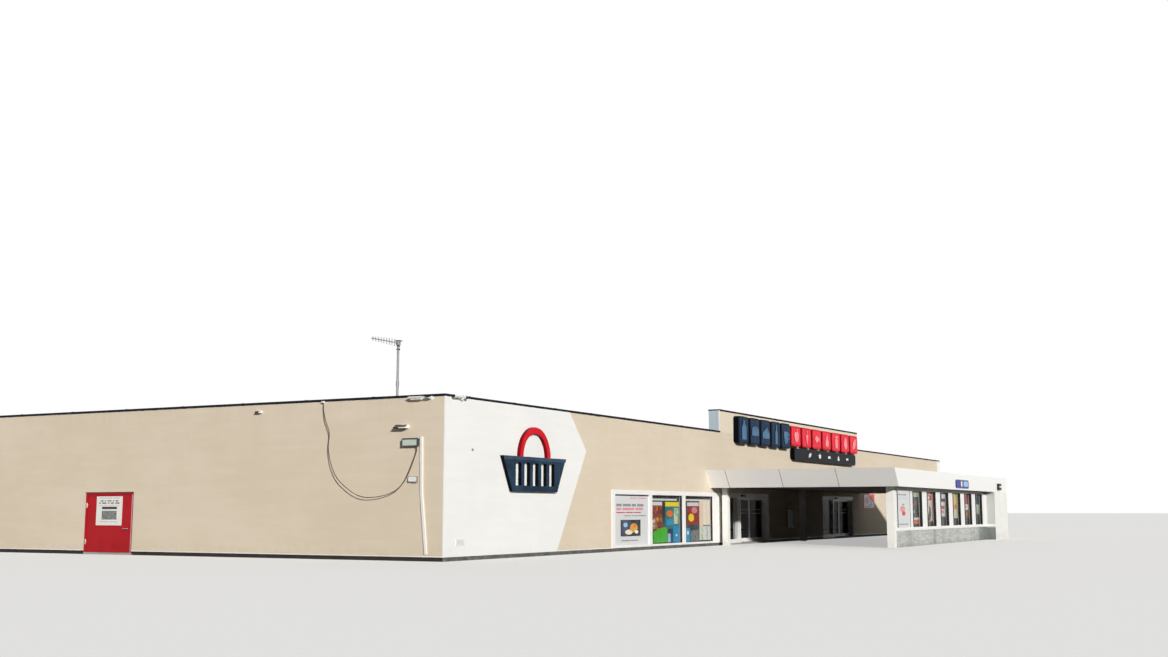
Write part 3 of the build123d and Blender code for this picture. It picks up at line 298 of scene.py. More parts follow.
@dataclass(frozen=True)
class Plaster:
    """Mineral render: a crumbly grain, soft blotches, rain marks and splashed dirt."""

    name: str
    colour: Colour
    shade: Colour
    dirt: Colour
    top: float = 2.78
    rain_length: float = 0.55
    splash_height: float = 0.34
    rain: float = 0.06
    splash: float = 0.4
    # left: painted shade or light for the faces that look left, if any.
    left: "Colour | None" = None

    def material(self) -> bpy.types.Material:
        """Build the material."""
        shader = Shader(self.name)
        height = shader.axis("Z")
        trowel = shader.noise(1.0, 5.0, (0.9, 0.9, 7.0))
        uneven = (shader.noise(0.55, 4.0) * 0.6 + trowel * 0.4).fade(0.36, 0.68)
        streaks = shader.noise(1.0, 3.0, (11.0, 11.0, 0.35)).fade(0.48, 0.72)
        rain = height.fade(self.top - self.rain_length, self.top) * streaks * self.rain
        foot = 1.0 - height.fade(0.05, self.splash_height)
        splash = foot * shader.noise(7.0, 5.0).fade(0.3, 0.75) * self.splash
        speckle = shader.noise(60.0, 3.0).fade(0.3, 0.8) * 0.16
        colour = shader.painted_side_tone(shader.blend(uneven, self.shade, self.colour), self.left)
        for share, tone in ((rain, self.dirt), (splash, self.dirt), (speckle, self.shade)):
            colour = shader.blend(share, colour, tone)
        grain = shader.noise(190.0, 4.0) * 0.6 + shader.cells(140.0) * 0.4 + trowel * 0.5
        return shader.finish(colour, 0.88 + uneven * 0.08, (grain, 0.45, 0.0012), Specular_IOR_Level=0.05)


@dataclass(frozen=True)
class CoatedSheet:
    """Coated steel sheet: a smooth skin with faint waves, cloudy tone and washed dirt."""

    name: str
    colour: Colour
    dirt: Colour
    roughness: float = 0.38
    wash: float = 0.1
    low: float = 0.0
    high: float = 0.25
    gloss: float = 0.3
    # left: painted shade or light for the faces that look left, if any.
    left: "Colour | None" = None
    zones: tuple[Zone, ...] = ()

    def material(self) -> bpy.types.Material:
        """Build the material."""
        shader = Shader(self.name)
        runs = shader.noise(1.0, 4.0, (15.0, 15.0, 0.8)).fade(0.45, 0.8)
        low_dirt = 1.0 - shader.axis("Z").fade(self.low, self.high)
        low_dirt *= shader.noise(5.0, 4.0).fade(0.35, 0.7)
        clouds = shader.noise(2.2, 3.0).fade(0.3, 0.75)
        dirt = runs * self.wash + low_dirt * self.wash * 1.5
        colour = shader.zoned(shader.painted_side_tone(self.colour, self.left), self.zones)
        colour = shader.blend(clouds * 0.18 * self.wash / 0.22, colour, self.dirt)
        colour = shader.blend(dirt, colour, self.dirt)
        skin = shader.noise(240.0, 2.0) * 0.12 + shader.noise(3.0, 1.0) * 0.9
        roughness = self.roughness + clouds * 0.1 + dirt * 0.3
        return shader.finish(colour, roughness, (skin, 0.3, 0.0006), Specular_IOR_Level=self.gloss)


@dataclass(frozen=True)
class StoneFacing:
    """Grey stone in low courses, with a tone of its own for each stone."""

    name: str
    light: Colour
    dark: Colour
    darker_tone: Colour
    course: float = 0.032
    stone: float = 0.24
    wet_share: float = 0.5
    # left: painted shade or light for the faces that look left, if any.
    left: "Colour | None" = None
    # Darker towards the end by the fin, between two X values, if any.
    end_darkening: "Flat | None" = None

    def material(self) -> bpy.types.Material:
        """Build the material."""
        shader = Shader(self.name)
        height = shader.axis("Z")
        stones = shader.vector("SNAP", shader.place, (self.stone, self.stone, self.course))
        tone = shader.node("TexWhiteNoise", {}, {"Vector": stones}, "Value")
        veins = shader.noise(26.0, 6.0, (0.4, 0.4, 3.0))
        joint = (height / self.course).fraction().fade(0.0, 0.14)
        bands = shader.noise(1.0, 3.0, (1.9, 1.9, 0.3)).fade(0.42, 0.75)
        foot = (1.0 - height.fade(0.0, 0.16)) * shader.noise(6.0, 4.0).fade(0.3, 0.65)
        colour = shader.painted_side_tone(shader.blend(tone * 0.55 + veins * 0.45, self.dark, self.light), self.left)
        shares = [bands * self.wet_share, foot * self.wet_share, (1.0 - joint) * 0.75]
        # Darker towards the end by the fin, between the two X values given.
        if self.end_darkening is not None:
            edge = shader.axis("X") + shader.noise(3.0, 4.0) * 0.9
            shares.append(edge.fade(*self.end_darkening) * 0.72)
        for share in shares:
            colour = shader.blend(share, colour, self.darker_tone)
        rough = veins * 0.5 + joint * 0.8 + shader.noise(150.0, 4.0) * 0.3
        return shader.finish(colour, 0.78 + tone * 0.12, (rough, 0.6, 0.002), Specular_IOR_Level=0.1)


@dataclass(frozen=True)
class Cement:
    """Plain cement or roofing sheet: cloudy, gritty and a little stained."""

    name: str
    colour: Colour
    stain: Colour
    grit: float = 120.0
    lap: float = 0.0

    def material(self) -> bpy.types.Material:
        """Build the material."""
        shader = Shader(self.name)
        clouds = shader.noise(0.9, 6.0).fade(0.35, 0.7)
        pools = shader.noise(0.35, 3.0).fade(0.55, 0.66)
        grit = shader.noise(self.grit, 5.0)
        shares = [clouds * 0.6, pools * 0.35, grit.fade(0.45, 0.7) * 0.2]
        if self.lap > 0:
            edge = (shader.axis("Y") / self.lap).fraction().fade(0.0, 0.03)
            shares.append((1.0 - edge) * 0.6)
            grit = grit * 0.4 + edge
        colour = self.colour
        for share in shares:
            colour = shader.blend(share, colour, self.stain)
        return shader.finish(colour, 0.86 + clouds * 0.08, (grit, 0.4, 0.0015), Specular_IOR_Level=0.1)


@dataclass(frozen=True)
class Glazing:
    """Window glass: clear from the front, a mirror at a low angle, with wiped dust."""

    name: str
    tint: Colour
    clear: float = 0.07
    dust: Colour = paint(190, 196, 196)
    index: float = 1.5

    def material(self) -> bpy.types.Material:
        """Build the material."""
        shader = Shader(self.name)
        rim = shader.node("LayerWeight", {}, {"Blend": 0.5}, "Facing") ** 4
        dust = shader.noise(2.4, 6.0).fade(0.45, 0.9)
        smears = shader.noise(1.0, 4.0, (3.0, 3.0, 16.0)).fade(0.5, 0.9)
        haze = dust * 0.03 + smears * 0.02
        colour = shader.blend(haze * 5.0, self.tint, self.dust)
        waves = (shader.noise(1.3, 1.0), 0.08, 0.01)
        alpha = self.clear + rim * 0.28 + haze
        return shader.finish(colour, 0.03 + haze * 0.6, waves, Alpha=alpha, IOR=self.index)


@dataclass(frozen=True)
class SignPlastic:
    """A sign's body: a coloured face in cloudy tones with a little dust, and dark sides."""

    name: str
    face: Colour
    deep: Colour
    side: Colour

    def material(self) -> bpy.types.Material:
        """Build the material."""
        shader = Shader(self.name)
        towards_viewer = (shader.axis("Y", shader.normal) * -1.0).fade(0.55, 0.8)
        dust = shader.noise(1.0, 4.0, (18.0, 18.0, 1.2)).fade(0.5, 0.85)
        face = shader.blend(shader.noise(2.6, 3.0).fade(0.3, 0.7), self.deep, self.face)
        face = shader.blend(dust * 0.08, face, paint(200, 196, 190))
        colour = shader.blend(towards_viewer, self.side, face)
        waves = (shader.noise(2.0, 1.0), 0.1, 0.004)
        return shader.finish(colour, 0.42 + dust * 0.25, waves, Specular_IOR_Level=0.04)


@dataclass(frozen=True)
class Moulded:
    """Moulded plastic or rubber: fine pores, dust on top and a dull bloom."""

    name: str
    colour: Colour
    dust: Colour = paint(150, 146, 138)
    roughness: float = 0.5
    pores: float = 420.0
    dusty: float = 0.3
    dulled: float = 0.4
    gloss: float = 0.3
    shares: Flat = (0.6, 0.4)
    zones: tuple[Zone, ...] = ()

    def material(self) -> bpy.types.Material:
        """Build the material."""
        shader = Shader(self.name)
        upward = shader.axis("Z", shader.normal).fade(0.2, 0.9)
        bloom = shader.noise(9.0, 4.0).fade(0.35, 0.75)
        dust = (upward * self.shares[0] + bloom * self.shares[1]) * self.dusty
        colour = shader.blend(dust, shader.zoned(self.colour, self.zones), self.dust)
        pores = (shader.noise(self.pores, 2.0), 0.25, 0.0004)
        roughness = self.roughness + dust * self.dulled
        return shader.finish(colour, roughness, pores, Specular_IOR_Level=self.gloss)


@dataclass(frozen=True)
class BareMetal:
    """Bare metal with drawn lines along it and patches of dull oxide."""

    name: str
    colour: Colour
    oxide: Colour
    roughness: float = 0.34
    metal: float = 1.0

    def material(self) -> bpy.types.Material:
        """Build the material."""
        shader = Shader(self.name)
        lines = shader.noise(1.0, 3.0, (4.0, 260.0, 260.0))
        patches = shader.noise(14.0, 5.0).fade(0.5, 0.8) * 0.35
        colour = shader.blend(patches, self.colour, self.oxide)
        roughness = self.roughness + lines * 0.15 + patches * 0.4
        metallic = (1.0 - patches * 0.7) * self.metal
        return shader.finish(colour, roughness, (lines, 0.2, 0.0003), Metallic=metallic)


class Motif(Enum):
    """What kind of plain pattern a printed board shows."""

    PLAIN = "plain"
    HARVEST = "harvest"
    BANDS = "bands"
    CLOUDS = "clouds"


@dataclass(frozen=True)
class Print:
    """A printed board: plain colours in a loose pattern under a thin satin film."""

    name: str
    colours: tuple[Colour, ...]
    motif: Motif = Motif.PLAIN
    scale: float = 9.0

    def material(self) -> bpy.types.Material:
        """Build the material."""
        shader = Shader(self.name)
        fading = shader.noise(3.0, 3.0).fade(0.35, 0.8) * 0.12
        colour = shader.blend(fading, self._pattern(shader), paint(214, 214, 210))
        return shader.finish(colour, 0.45 + fading, (shader.noise(300.0, 1.0), 0.06, 0.0003))

    def _pattern(self, shader: Shader) -> Signal:
        """Return the colour of the printed pattern."""
        if self.motif is Motif.PLAIN:
            return shader.blend(shader.noise(2.0, 2.0) * 0.15, self.colours[0], self.colours[-1])
        if self.motif is Motif.HARVEST:
            pick = shader.axis("X", shader.cells(self.scale, "Color"))
        elif self.motif is Motif.BANDS:
            pick = shader.noise(1.0, 2.0, (1.2, 1.2, self.scale)).fade(0.25, 0.75)
        else:
            pick = shader.noise(self.scale, 3.0).fade(0.3, 0.7)
        stops = [(step / len(self.colours), colour) for step, colour in enumerate(self.colours)]
        colour = shader.node("ValToRGB", {"stops": stops}, {0: pick}, "Color")
        if self.motif is Motif.HARVEST:
            rim = shader.cells(self.scale).fade(0.25, 0.62)
            colour = shader.blend(rim * 0.7, colour, paint(70, 30, 22))
        return colour


class Ink(Enum):
    """The plain prints of the boards behind the panes and on the walls."""

    PAPER = Print("paper_print", (paint(220, 222, 224), paint(198, 204, 208)))
    WHITE = Print("white_print", (paint(246, 246, 244), paint(226, 228, 228)))
    CREAM = Print("cream_print", (paint(240, 232, 212), paint(230, 216, 192)))
    GREY = Print("grey_print", (paint(140, 146, 152), paint(112, 118, 126)))
    SPECKLE = Print(
        "speckled_print", (paint(96, 102, 104), paint(160, 164, 160), paint(60, 66, 68)), Motif.CLOUDS, 40.0
    )
    SHADE = Print("dark_shade", (paint(34, 44, 50), paint(22, 30, 34), paint(52, 62, 66)), Motif.CLOUDS, 3.0)
    BLACK = Print("black_print", (paint(22, 24, 26), paint(34, 36, 38)))
    RED = Print("red_print", (paint(204, 34, 42), paint(168, 22, 34)))
    WINE = Print("wine_print", (paint(168, 26, 34), paint(110, 16, 24)))
    PINK = Print("pink_print", (paint(226, 142, 150), paint(236, 176, 180)))
    PEACH = Print("peach_print", (paint(244, 214, 192), paint(236, 196, 168)))
    ORANGE = Print("orange_print", (paint(236, 120, 30), paint(220, 88, 26)))
    YELLOW = Print("yellow_print", (paint(246, 222, 30), paint(236, 200, 24)))
    GOLD = Print("gold_print", (paint(206, 148, 40), paint(242, 210, 120)), Motif.BANDS, 2.0)
    LIME = Print("lime_print", (paint(58, 178, 16), paint(40, 150, 12)))
    MEADOW = Print(
        "meadow_print", (paint(176, 206, 150), paint(120, 170, 110), paint(214, 222, 190)), Motif.CLOUDS
    )
    TEAL = Print("teal_print", (paint(16, 118, 124), paint(8, 84, 96)))
    BLUE = Print("blue_print", (paint(14, 146, 196), paint(8, 116, 172)))
    SKY = Print("sky_print", (paint(150, 196, 230), paint(200, 224, 240)))
    NIGHT = Print("night_print", (paint(24, 42, 84), paint(18, 30, 60)))
    HARVEST = Print(
        "harvest_print",
        (
            paint(206, 30, 26),
            paint(238, 120, 24),
            paint(246, 196, 60),
            paint(140, 16, 22),
            paint(190, 44, 30),
        ),
        Motif.HARVEST,
        10.0,
    )
    PRODUCE = Print(
        "produce_print",
        (
            paint(232, 236, 238),
            paint(236, 150, 60),
            paint(90, 170, 200),
            paint(210, 60, 50),
            paint(238, 226, 190),
        ),
        Motif.HARVEST,
        12.0,
    )


@dataclass
class Site:
    """Where the hall's faces stand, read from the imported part."""

    left: float
    right: float
    front: float
    back: float
    wall_top: float

    @classmethod
    def from_frame(cls) -> "Site":
        """Read the hall's faces from its walls."""
        low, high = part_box("front_wall")
        return cls(low.x, high.x, low.y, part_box("back_wall")[1].y, high.z)

    def along(self, distance: float) -> float:
        """Return the X of a place measured from the hall's left end."""
        return self.left + distance

    def behind(self, distance: float) -> float:
        """Return the Y of a place measured from the hall's front wall."""
        return self.front + distance


@dataclass(frozen=True)
class Colouring:
    """The fittings that have colours of their own, as blocks on one wall."""

    rows: tuple[tuple[Flat, Flat, Flat, Colour], ...]

    def on_side(self, site: Site) -> tuple[Zone, ...]:
        """Return zones from rows of ranges off the left wall, behind its front and in height."""
        zones = []
        for off, run, height, colour in self.rows:
            low = (site.left - off[1], site.behind(run[0]), height[0])
            zones.append(Zone(low, (site.left - off[0], site.behind(run[1]), height[1]), colour))
        return tuple(zones)

    def on_front(self, site: Site) -> tuple[Zone, ...]:
        """Return the zones of rows that give the ranges off the front, along it and in height."""
        zones = []
        for off, run, height, colour in self.rows:
            low = (site.along(run[0]), site.front - off[1], height[0])
            zones.append(Zone(low, (site.along(run[1]), site.front - off[0], height[1]), colour))
        return tuple(zones)


DARK = paint(28, 29, 33)
SIDE_FITTINGS = Colouring(
    (
        ((-0.01, 0.09), (0.490, 0.845), (1.890, 2.070), paint(62, 68, 66)),
        ((0.0, 0.04), (0.515, 0.720), (1.315, 1.435), paint(150, 144, 138)),
        # Painted shade: the wedge lamp's sides and underside are painted dark brown-grey, leaving its outer
        # face white.
        ((0.0, 0.114), (0.737, 0.978), (2.230, 2.299), paint(48, 45, 42)),
        ((0.0, 0.13), (0.872, 0.99), (2.230, 2.320), paint(30, 32, 36)),
        # Painted shade: most of the small lamp's body is painted dark brown, leaving its end towards the
        # front white.
        ((0.0, 0.08), (4.062, 4.16), (2.560, 2.650), paint(40, 36, 34)),
        ((0.03, 0.12), (0.655, 0.670), (2.700, 2.775), paint(24, 26, 30)),
    )
)
FRONT_FITTINGS = Colouring(
    (
        ((0.0, 0.12), (0.150, 0.160), (2.735, 2.805), DARK),
        ((0.03, 0.12), (0.492, 0.570), (2.735, 2.805), DARK),
        ((0.0, 0.08), (0.80, 0.90), (1.85, 1.93), paint(132, 130, 126)),
        ((-0.02, 0.05), (13.35, 13.70), (1.18, 1.25), DARK),
        ((-0.02, 0.05), (21.07, 21.44), (1.18, 1.25), DARK),
        ((0.03, 0.06), (16.90, 17.06), (0.88, 1.03), paint(226, 228, 222)),
        ((-0.01, 0.03), (16.90, 17.06), (0.88, 1.03), paint(214, 214, 208)),
        ((-0.01, 0.05), (16.78, 17.32), (0.35, 0.88), paint(44, 38, 33)),
        ((0.016, 0.018), (16.82, 17.28), (0.38, 0.86), paint(34, 36, 38)),
        ((4.60, 4.64), (17.0, 18.48), (1.42, 1.68), paint(30, 44, 138)),
        ((4.60, 4.70), (22.36, 22.73), (1.42, 1.68), DARK),
    )
)
DOOR_HARDWARE = Colouring(
    (
        ((0.001, 0.06), (7.2, 7.6), (0.4, 0.7), paint(176, 178, 180)),
        ((0.001, 0.06), (8.3, 8.6), (0.1, 1.1), paint(224, 224, 218)),
    )
)


def mix_finishes(site: Site) -> Stock:
    """Build every finish of the building once.

    Args:
        site: Where the hall stands, for the parts that have colours of their own.

    Returns:
        The materials by the names of their finishes.
    """
    beige_dirt = paint(150, 134, 112)
    white_dirt = paint(168, 164, 154)
    white = paint(249, 249, 248)
    fitting = paint(243, 243, 240)
    fitting_dust = paint(168, 162, 150)
    worn = {"roughness": 0.42, "dusty": 1.0, "dulled": 1.0, "gloss": 0.2, "shares": (0.14, 0.1)}
    low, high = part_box("screen_frame")
    # Painted shade: the screen frame's head strip under the fascia is painted grey-brown where the fascia's
    # shadow falls.
    painted_head_shade = Zone((low.x - 1.0, low.y - 0.1, 1.32), (high.x + 1.0, high.y + 0.1, 1.42), paint(104, 98, 92))
    side_zones = SIDE_FITTINGS.on_side(site)
    front_zones = FRONT_FITTINGS.on_front(site)
    hardware = DOOR_HARDWARE.on_side(site)
    made = (
        Plaster("beige_render", paint(230, 217, 198), paint(223, 209, 188), beige_dirt, splash=0.14),
        Plaster("sign_wall_render", paint(238, 226, 207), paint(232, 219, 199), beige_dirt, top=3.32),
        Plaster(
            "white_render", paint(250, 250, 248), paint(243, 244, 243), white_dirt, rain=0.03, splash=0.08
        ),
        Plaster(
            "pillar_render", paint(250, 250, 247), paint(242, 242, 238), white_dirt, top=1.4, splash=0.24
        ),
        # Painted shade: the fin's left-facing faces are painted grey.
        Plaster(
            "fin_render", paint(250, 251, 248), paint(240, 242, 238), white_dirt,
            top=1.4, rain=0.12, splash=0.3, left=paint(186, 190, 186),
        ),
        # Painted shade: the base's left-facing faces are painted dark brown.
        StoneFacing(
            "base_stone", paint(132, 134, 130), paint(106, 108, 106), paint(62, 62, 60), 0.035, 0.3,
            left=paint(58, 52, 48),
        ),
        # This stone gets darker towards the fin's end, from X 3.2 to 4.5.
        StoneFacing(
            "split_stone", paint(225, 227, 223), paint(174, 179, 175), paint(90, 98, 101),
            wet_share=0.36, end_darkening=(3.2, 4.5),
        ),
        CoatedSheet(
            "coping_sheet", paint(30, 36, 44), paint(80, 82, 86), roughness=0.75, high=0.1, gloss=0.06
        ),
        CoatedSheet("white_sheet", white, white_dirt),
        # Painted light: the fascia's left-facing faces are painted brighter white than the rest, to lift the
        # shaded leaning side fascia.
        CoatedSheet(
            "fascia_sheet",
            white,
            paint(232, 230, 226),
            wash=0.08,
            low=1.38,
            high=1.44,
            left=paint(255, 255, 255),
        ),
        # Painted shade: the raised wall's white returns are painted pale blue-grey, as white sheet in shade
        # with a bluish sky reflection.
        CoatedSheet("pale_blue_sheet", paint(192, 209, 218), paint(150, 160, 168), wash=0.22, high=0.4),
        CoatedSheet(
            "red_sheet",
            paint(180, 14, 28),
            paint(116, 20, 26),
            roughness=0.45,
            wash=0.22,
            high=0.4,
            zones=hardware,
        ),
        CoatedSheet("screen_sheet", white, white_dirt, zones=(painted_head_shade,)),
        # Painted shade: the soffit's dark brown-grey is darkened further for the shade under the canopy.
        CoatedSheet(
            "soffit_sheet",
            paint(50, 42, 37),
            paint(34, 29, 26),
            roughness=0.7,
            wash=0.22,
            high=0.4,
            gloss=0.03,
        ),
        CoatedSheet("grey_sheet", paint(176, 178, 178), paint(140, 142, 142), wash=0.15, high=0.4),
        Cement("trowelled_floor", paint(176, 172, 166), paint(132, 128, 122)),
        Cement("roofing_sheet", paint(98, 100, 104), paint(66, 67, 70), grit=220.0, lap=0.5),
        Glazing("window_glass", paint(52, 62, 62)),
        # Painted shade: the door glass's near-black tint and its dark dust stand for the deep shade of the
        # porch.
        Glazing("door_glass", paint(14, 17, 17), dust=paint(96, 100, 100), index=1.25),
        SignPlastic("navy_sign", paint(14, 28, 46), paint(8, 18, 32), paint(8, 10, 14)),
        SignPlastic("red_sign", paint(226, 34, 50), paint(206, 22, 38), paint(120, 12, 22)),
        SignPlastic("black_sign", paint(20, 24, 32), paint(14, 17, 24), paint(8, 8, 10)),
        SignPlastic("slate_sign", paint(40, 64, 86), paint(24, 40, 58), paint(10, 12, 16)),
        SignPlastic("slate_trim", paint(60, 84, 106), paint(44, 64, 84), paint(14, 16, 21)),
        SignPlastic("navy_panel", paint(26, 56, 88), paint(16, 40, 68), paint(8, 10, 14)),
        SignPlastic("red_panel", paint(252, 62, 82), paint(244, 46, 66), paint(150, 18, 30)),
        SignPlastic("navy_picture", paint(96, 132, 164), paint(70, 104, 138), paint(10, 18, 30)),
        SignPlastic("red_picture", paint(255, 168, 172), paint(255, 148, 154), paint(150, 18, 30)),
        Moulded("white_plastic", paint(240, 240, 236), paint(170, 164, 150)),
        Moulded("dark_plastic", paint(34, 35, 38)),
        Moulded("grey_plastic", paint(120, 124, 122)),
        Moulded("rubber", paint(24, 24, 25), roughness=0.7, dusty=0.2),
        Moulded("cable_sheath", paint(62, 52, 42), roughness=0.65, dusty=0.2),
        Moulded("lamp_lens", paint(196, 208, 198), roughness=0.25, pores=60.0, dusty=0.35),
        Moulded("frosted_film", paint(214, 222, 222), roughness=0.7, pores=200.0),
        Moulded("side_fitting_plastic", fitting, fitting_dust, zones=side_zones, **worn),
        Moulded("front_fitting_plastic", fitting, fitting_dust, zones=front_zones, **worn),
        BareMetal("drawn_aluminium", paint(196, 198, 200), paint(140, 140, 138)),
        BareMetal("zinc_coated_steel", paint(146, 150, 154), paint(112, 112, 108), 0.5, 0.4),
        *(ink.value for ink in Ink),
    )
    return {finish.name: finish.material() for finish in made}


class Form:
    """A mesh in the making, gathered from prisms, rods and plates."""

    def __init__(self) -> None:
        """Start with nothing."""
        self.mesh = bmesh.new()

    def prism(
        self, outline: Sequence[Flat], facing: Facing, start: float, end: float, bevel: float = 0.0
    ) -> "Form":
        """Add an outline that is drawn out from one level to another.

        Args:
            outline: Its corners in order, on the plane that facing names.
            facing: The plane of the outline.
            start: Where it begins along the third axis.
            end: Where it ends along the third axis.
            bevel: How far its edges are broken, or 0 for sharp ones.

        Returns:
            This form.
        """
        across, up, along = facing.value
        part = bmesh.new()
        rings = []
        for level in (start, end):
            ring = []
            for first, second in outline:
                place = [0.0, 0.0, 0.0]
                place[across], place[up], place[along] = first, second, level
                ring.append(part.verts.new(place))
            rings.append(ring)
        near, far = rings
        part.faces.new(near)
        part.faces.new(far)
        for index in range(len(outline)):
            after = (index + 1) % len(outline)
            part.faces.new((near[index], near[after], far[after], far[index]))
        bmesh.ops.recalc_face_normals(part, faces=part.faces)
        if bevel > 0:
            sharp = [edge for edge in part.edges if edge.calc_face_angle(0.0) > math.radians(35)]
            bmesh.ops.bevel(part, geom=sharp, offset=bevel, segments=2, profile=0.6, affect="EDGES")
        return self._take(part)

    def plate(self, low: Point, high: Point, bevel: float = 0.0) -> "Form":
        """Add a block between two corners, with broken edges."""
        outline = [(low[0], low[2]), (high[0], low[2]), (high[0], high[2]), (low[0], high[2])]
        return self.prism(outline, Facing.FRONT, low[1], high[1], bevel)

    def rod(
        self, start: Point, end: Point, radius: float, sides: int = 20, tip: "float | None" = None
    ) -> "Form":
        """Add a round rod between two points.

        Args:
            start: Its first end.
            end: Its other end.
            radius: Its radius at the first end.
            sides: How many sides it is made of.
            tip: Its radius at the other end, if that differs.

        Returns:
            This form.
        """
        line = Vector(end) - Vector(start)
        radii = {"radius1": radius, "radius2": radius if tip is None else tip}
        part = bmesh.new()
        bmesh.ops.create_cone(part, cap_ends=True, segments=sides, depth=line.length, **radii)
        turn = line.to_track_quat("Z", "Y").to_matrix().to_4x4()
        part.transform(Matrix.Translation((Vector(start) + Vector(end)) / 2) @ turn)
        bmesh.ops.recalc_face_normals(part, faces=part.faces)
        return self._take(part)

    def _take(self, part: bmesh.types.BMesh) -> "Form":
        """Add a finished bmesh to this form, free it and return this form."""
        spare = bpy.data.meshes.new("spare")
        part.to_mesh(spare)
        part.free()
        self.mesh.from_mesh(spare)
        bpy.data.meshes.remove(spare)
        return self

    def thing(self, name: str, material: bpy.types.Material) -> bpy.types.Object:
        """Return an object of the gathered mesh, in the scene."""
        mesh = bpy.data.meshes.new(name)
        self.mesh.to_mesh(mesh)
        self.mesh.free()
        mesh.materials.append(material)
        return place_in_scene(name, mesh)

    def piece(
        self, name: str, material: bpy.types.Material, slot: str, body: str = BUILDING, smooth: bool = False
    ) -> None:
        """Make a piece of the gathered mesh.

        Args:
            name: The piece's name.
            material: Its finish.
            slot: The material slot that the finish stands for; it is not used.
            body: The body that it rides on.
            smooth: Whether its faces are shaded smooth below a sharp angle.
        """
        made = self.thing(name, material)
        if smooth:
            made.data.shade_smooth()
            made.data.set_sharp_from_angle(angle=math.radians(40))
        settle(made, body)


def place_in_scene(name: str, data: "bpy.types.ID") -> bpy.types.Object:
    """Return a new object of a mesh, curve, lamp or camera, linked to the scene."""
    made = bpy.data.objects.new(name, data)
    bpy.context.scene.collection.objects.link(made)
    return made


def settle(made: bpy.types.Object, body: str) -> None:
    """Put a finished piece on its body.

    Args:
        made: The piece, with its place in its mesh.
        body: The body that it rides on.
    """
    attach(made, body)
    log.info("made %s with %d faces", made.name, len(made.data.polygons))


def rounded(left: float, low: float, right: float, high: float, radius: float, steps: int = 5) -> list[Flat]:
    """Return the outline of a rectangle with round corners.

    Args:
        left: Its lowest first coordinate.
        low: Its lowest second coordinate.
        right: Its highest first coordinate.
        high: Its highest second coordinate.
        radius: The radius of its corners.
        steps: How many straight steps make one corner.

    Returns:
        The corners in order.
    """
    centres = ((right - radius, low + radius), (right - radius, high - radius))
    centres += ((left + radius, high - radius), (left + radius, low + radius))
    outline = []
    for corner, (across, up) in enumerate(centres):
        for step in range(steps + 1):
            turn = math.radians(90) * (corner - 1 + step / steps)
            outline.append((across + radius * math.cos(turn), up + radius * math.sin(turn)))
    return outline


def oval(across: float, up: float, width: float, height: float, steps: int) -> tuple[Flat, ...]:
    """Return the outline of an oval, by its middle, its half width and its half height."""
    turns = [math.tau * step / steps for step in range(steps)]
    return tuple((across + width * math.cos(turn), up + height * math.sin(turn)) for turn in turns)


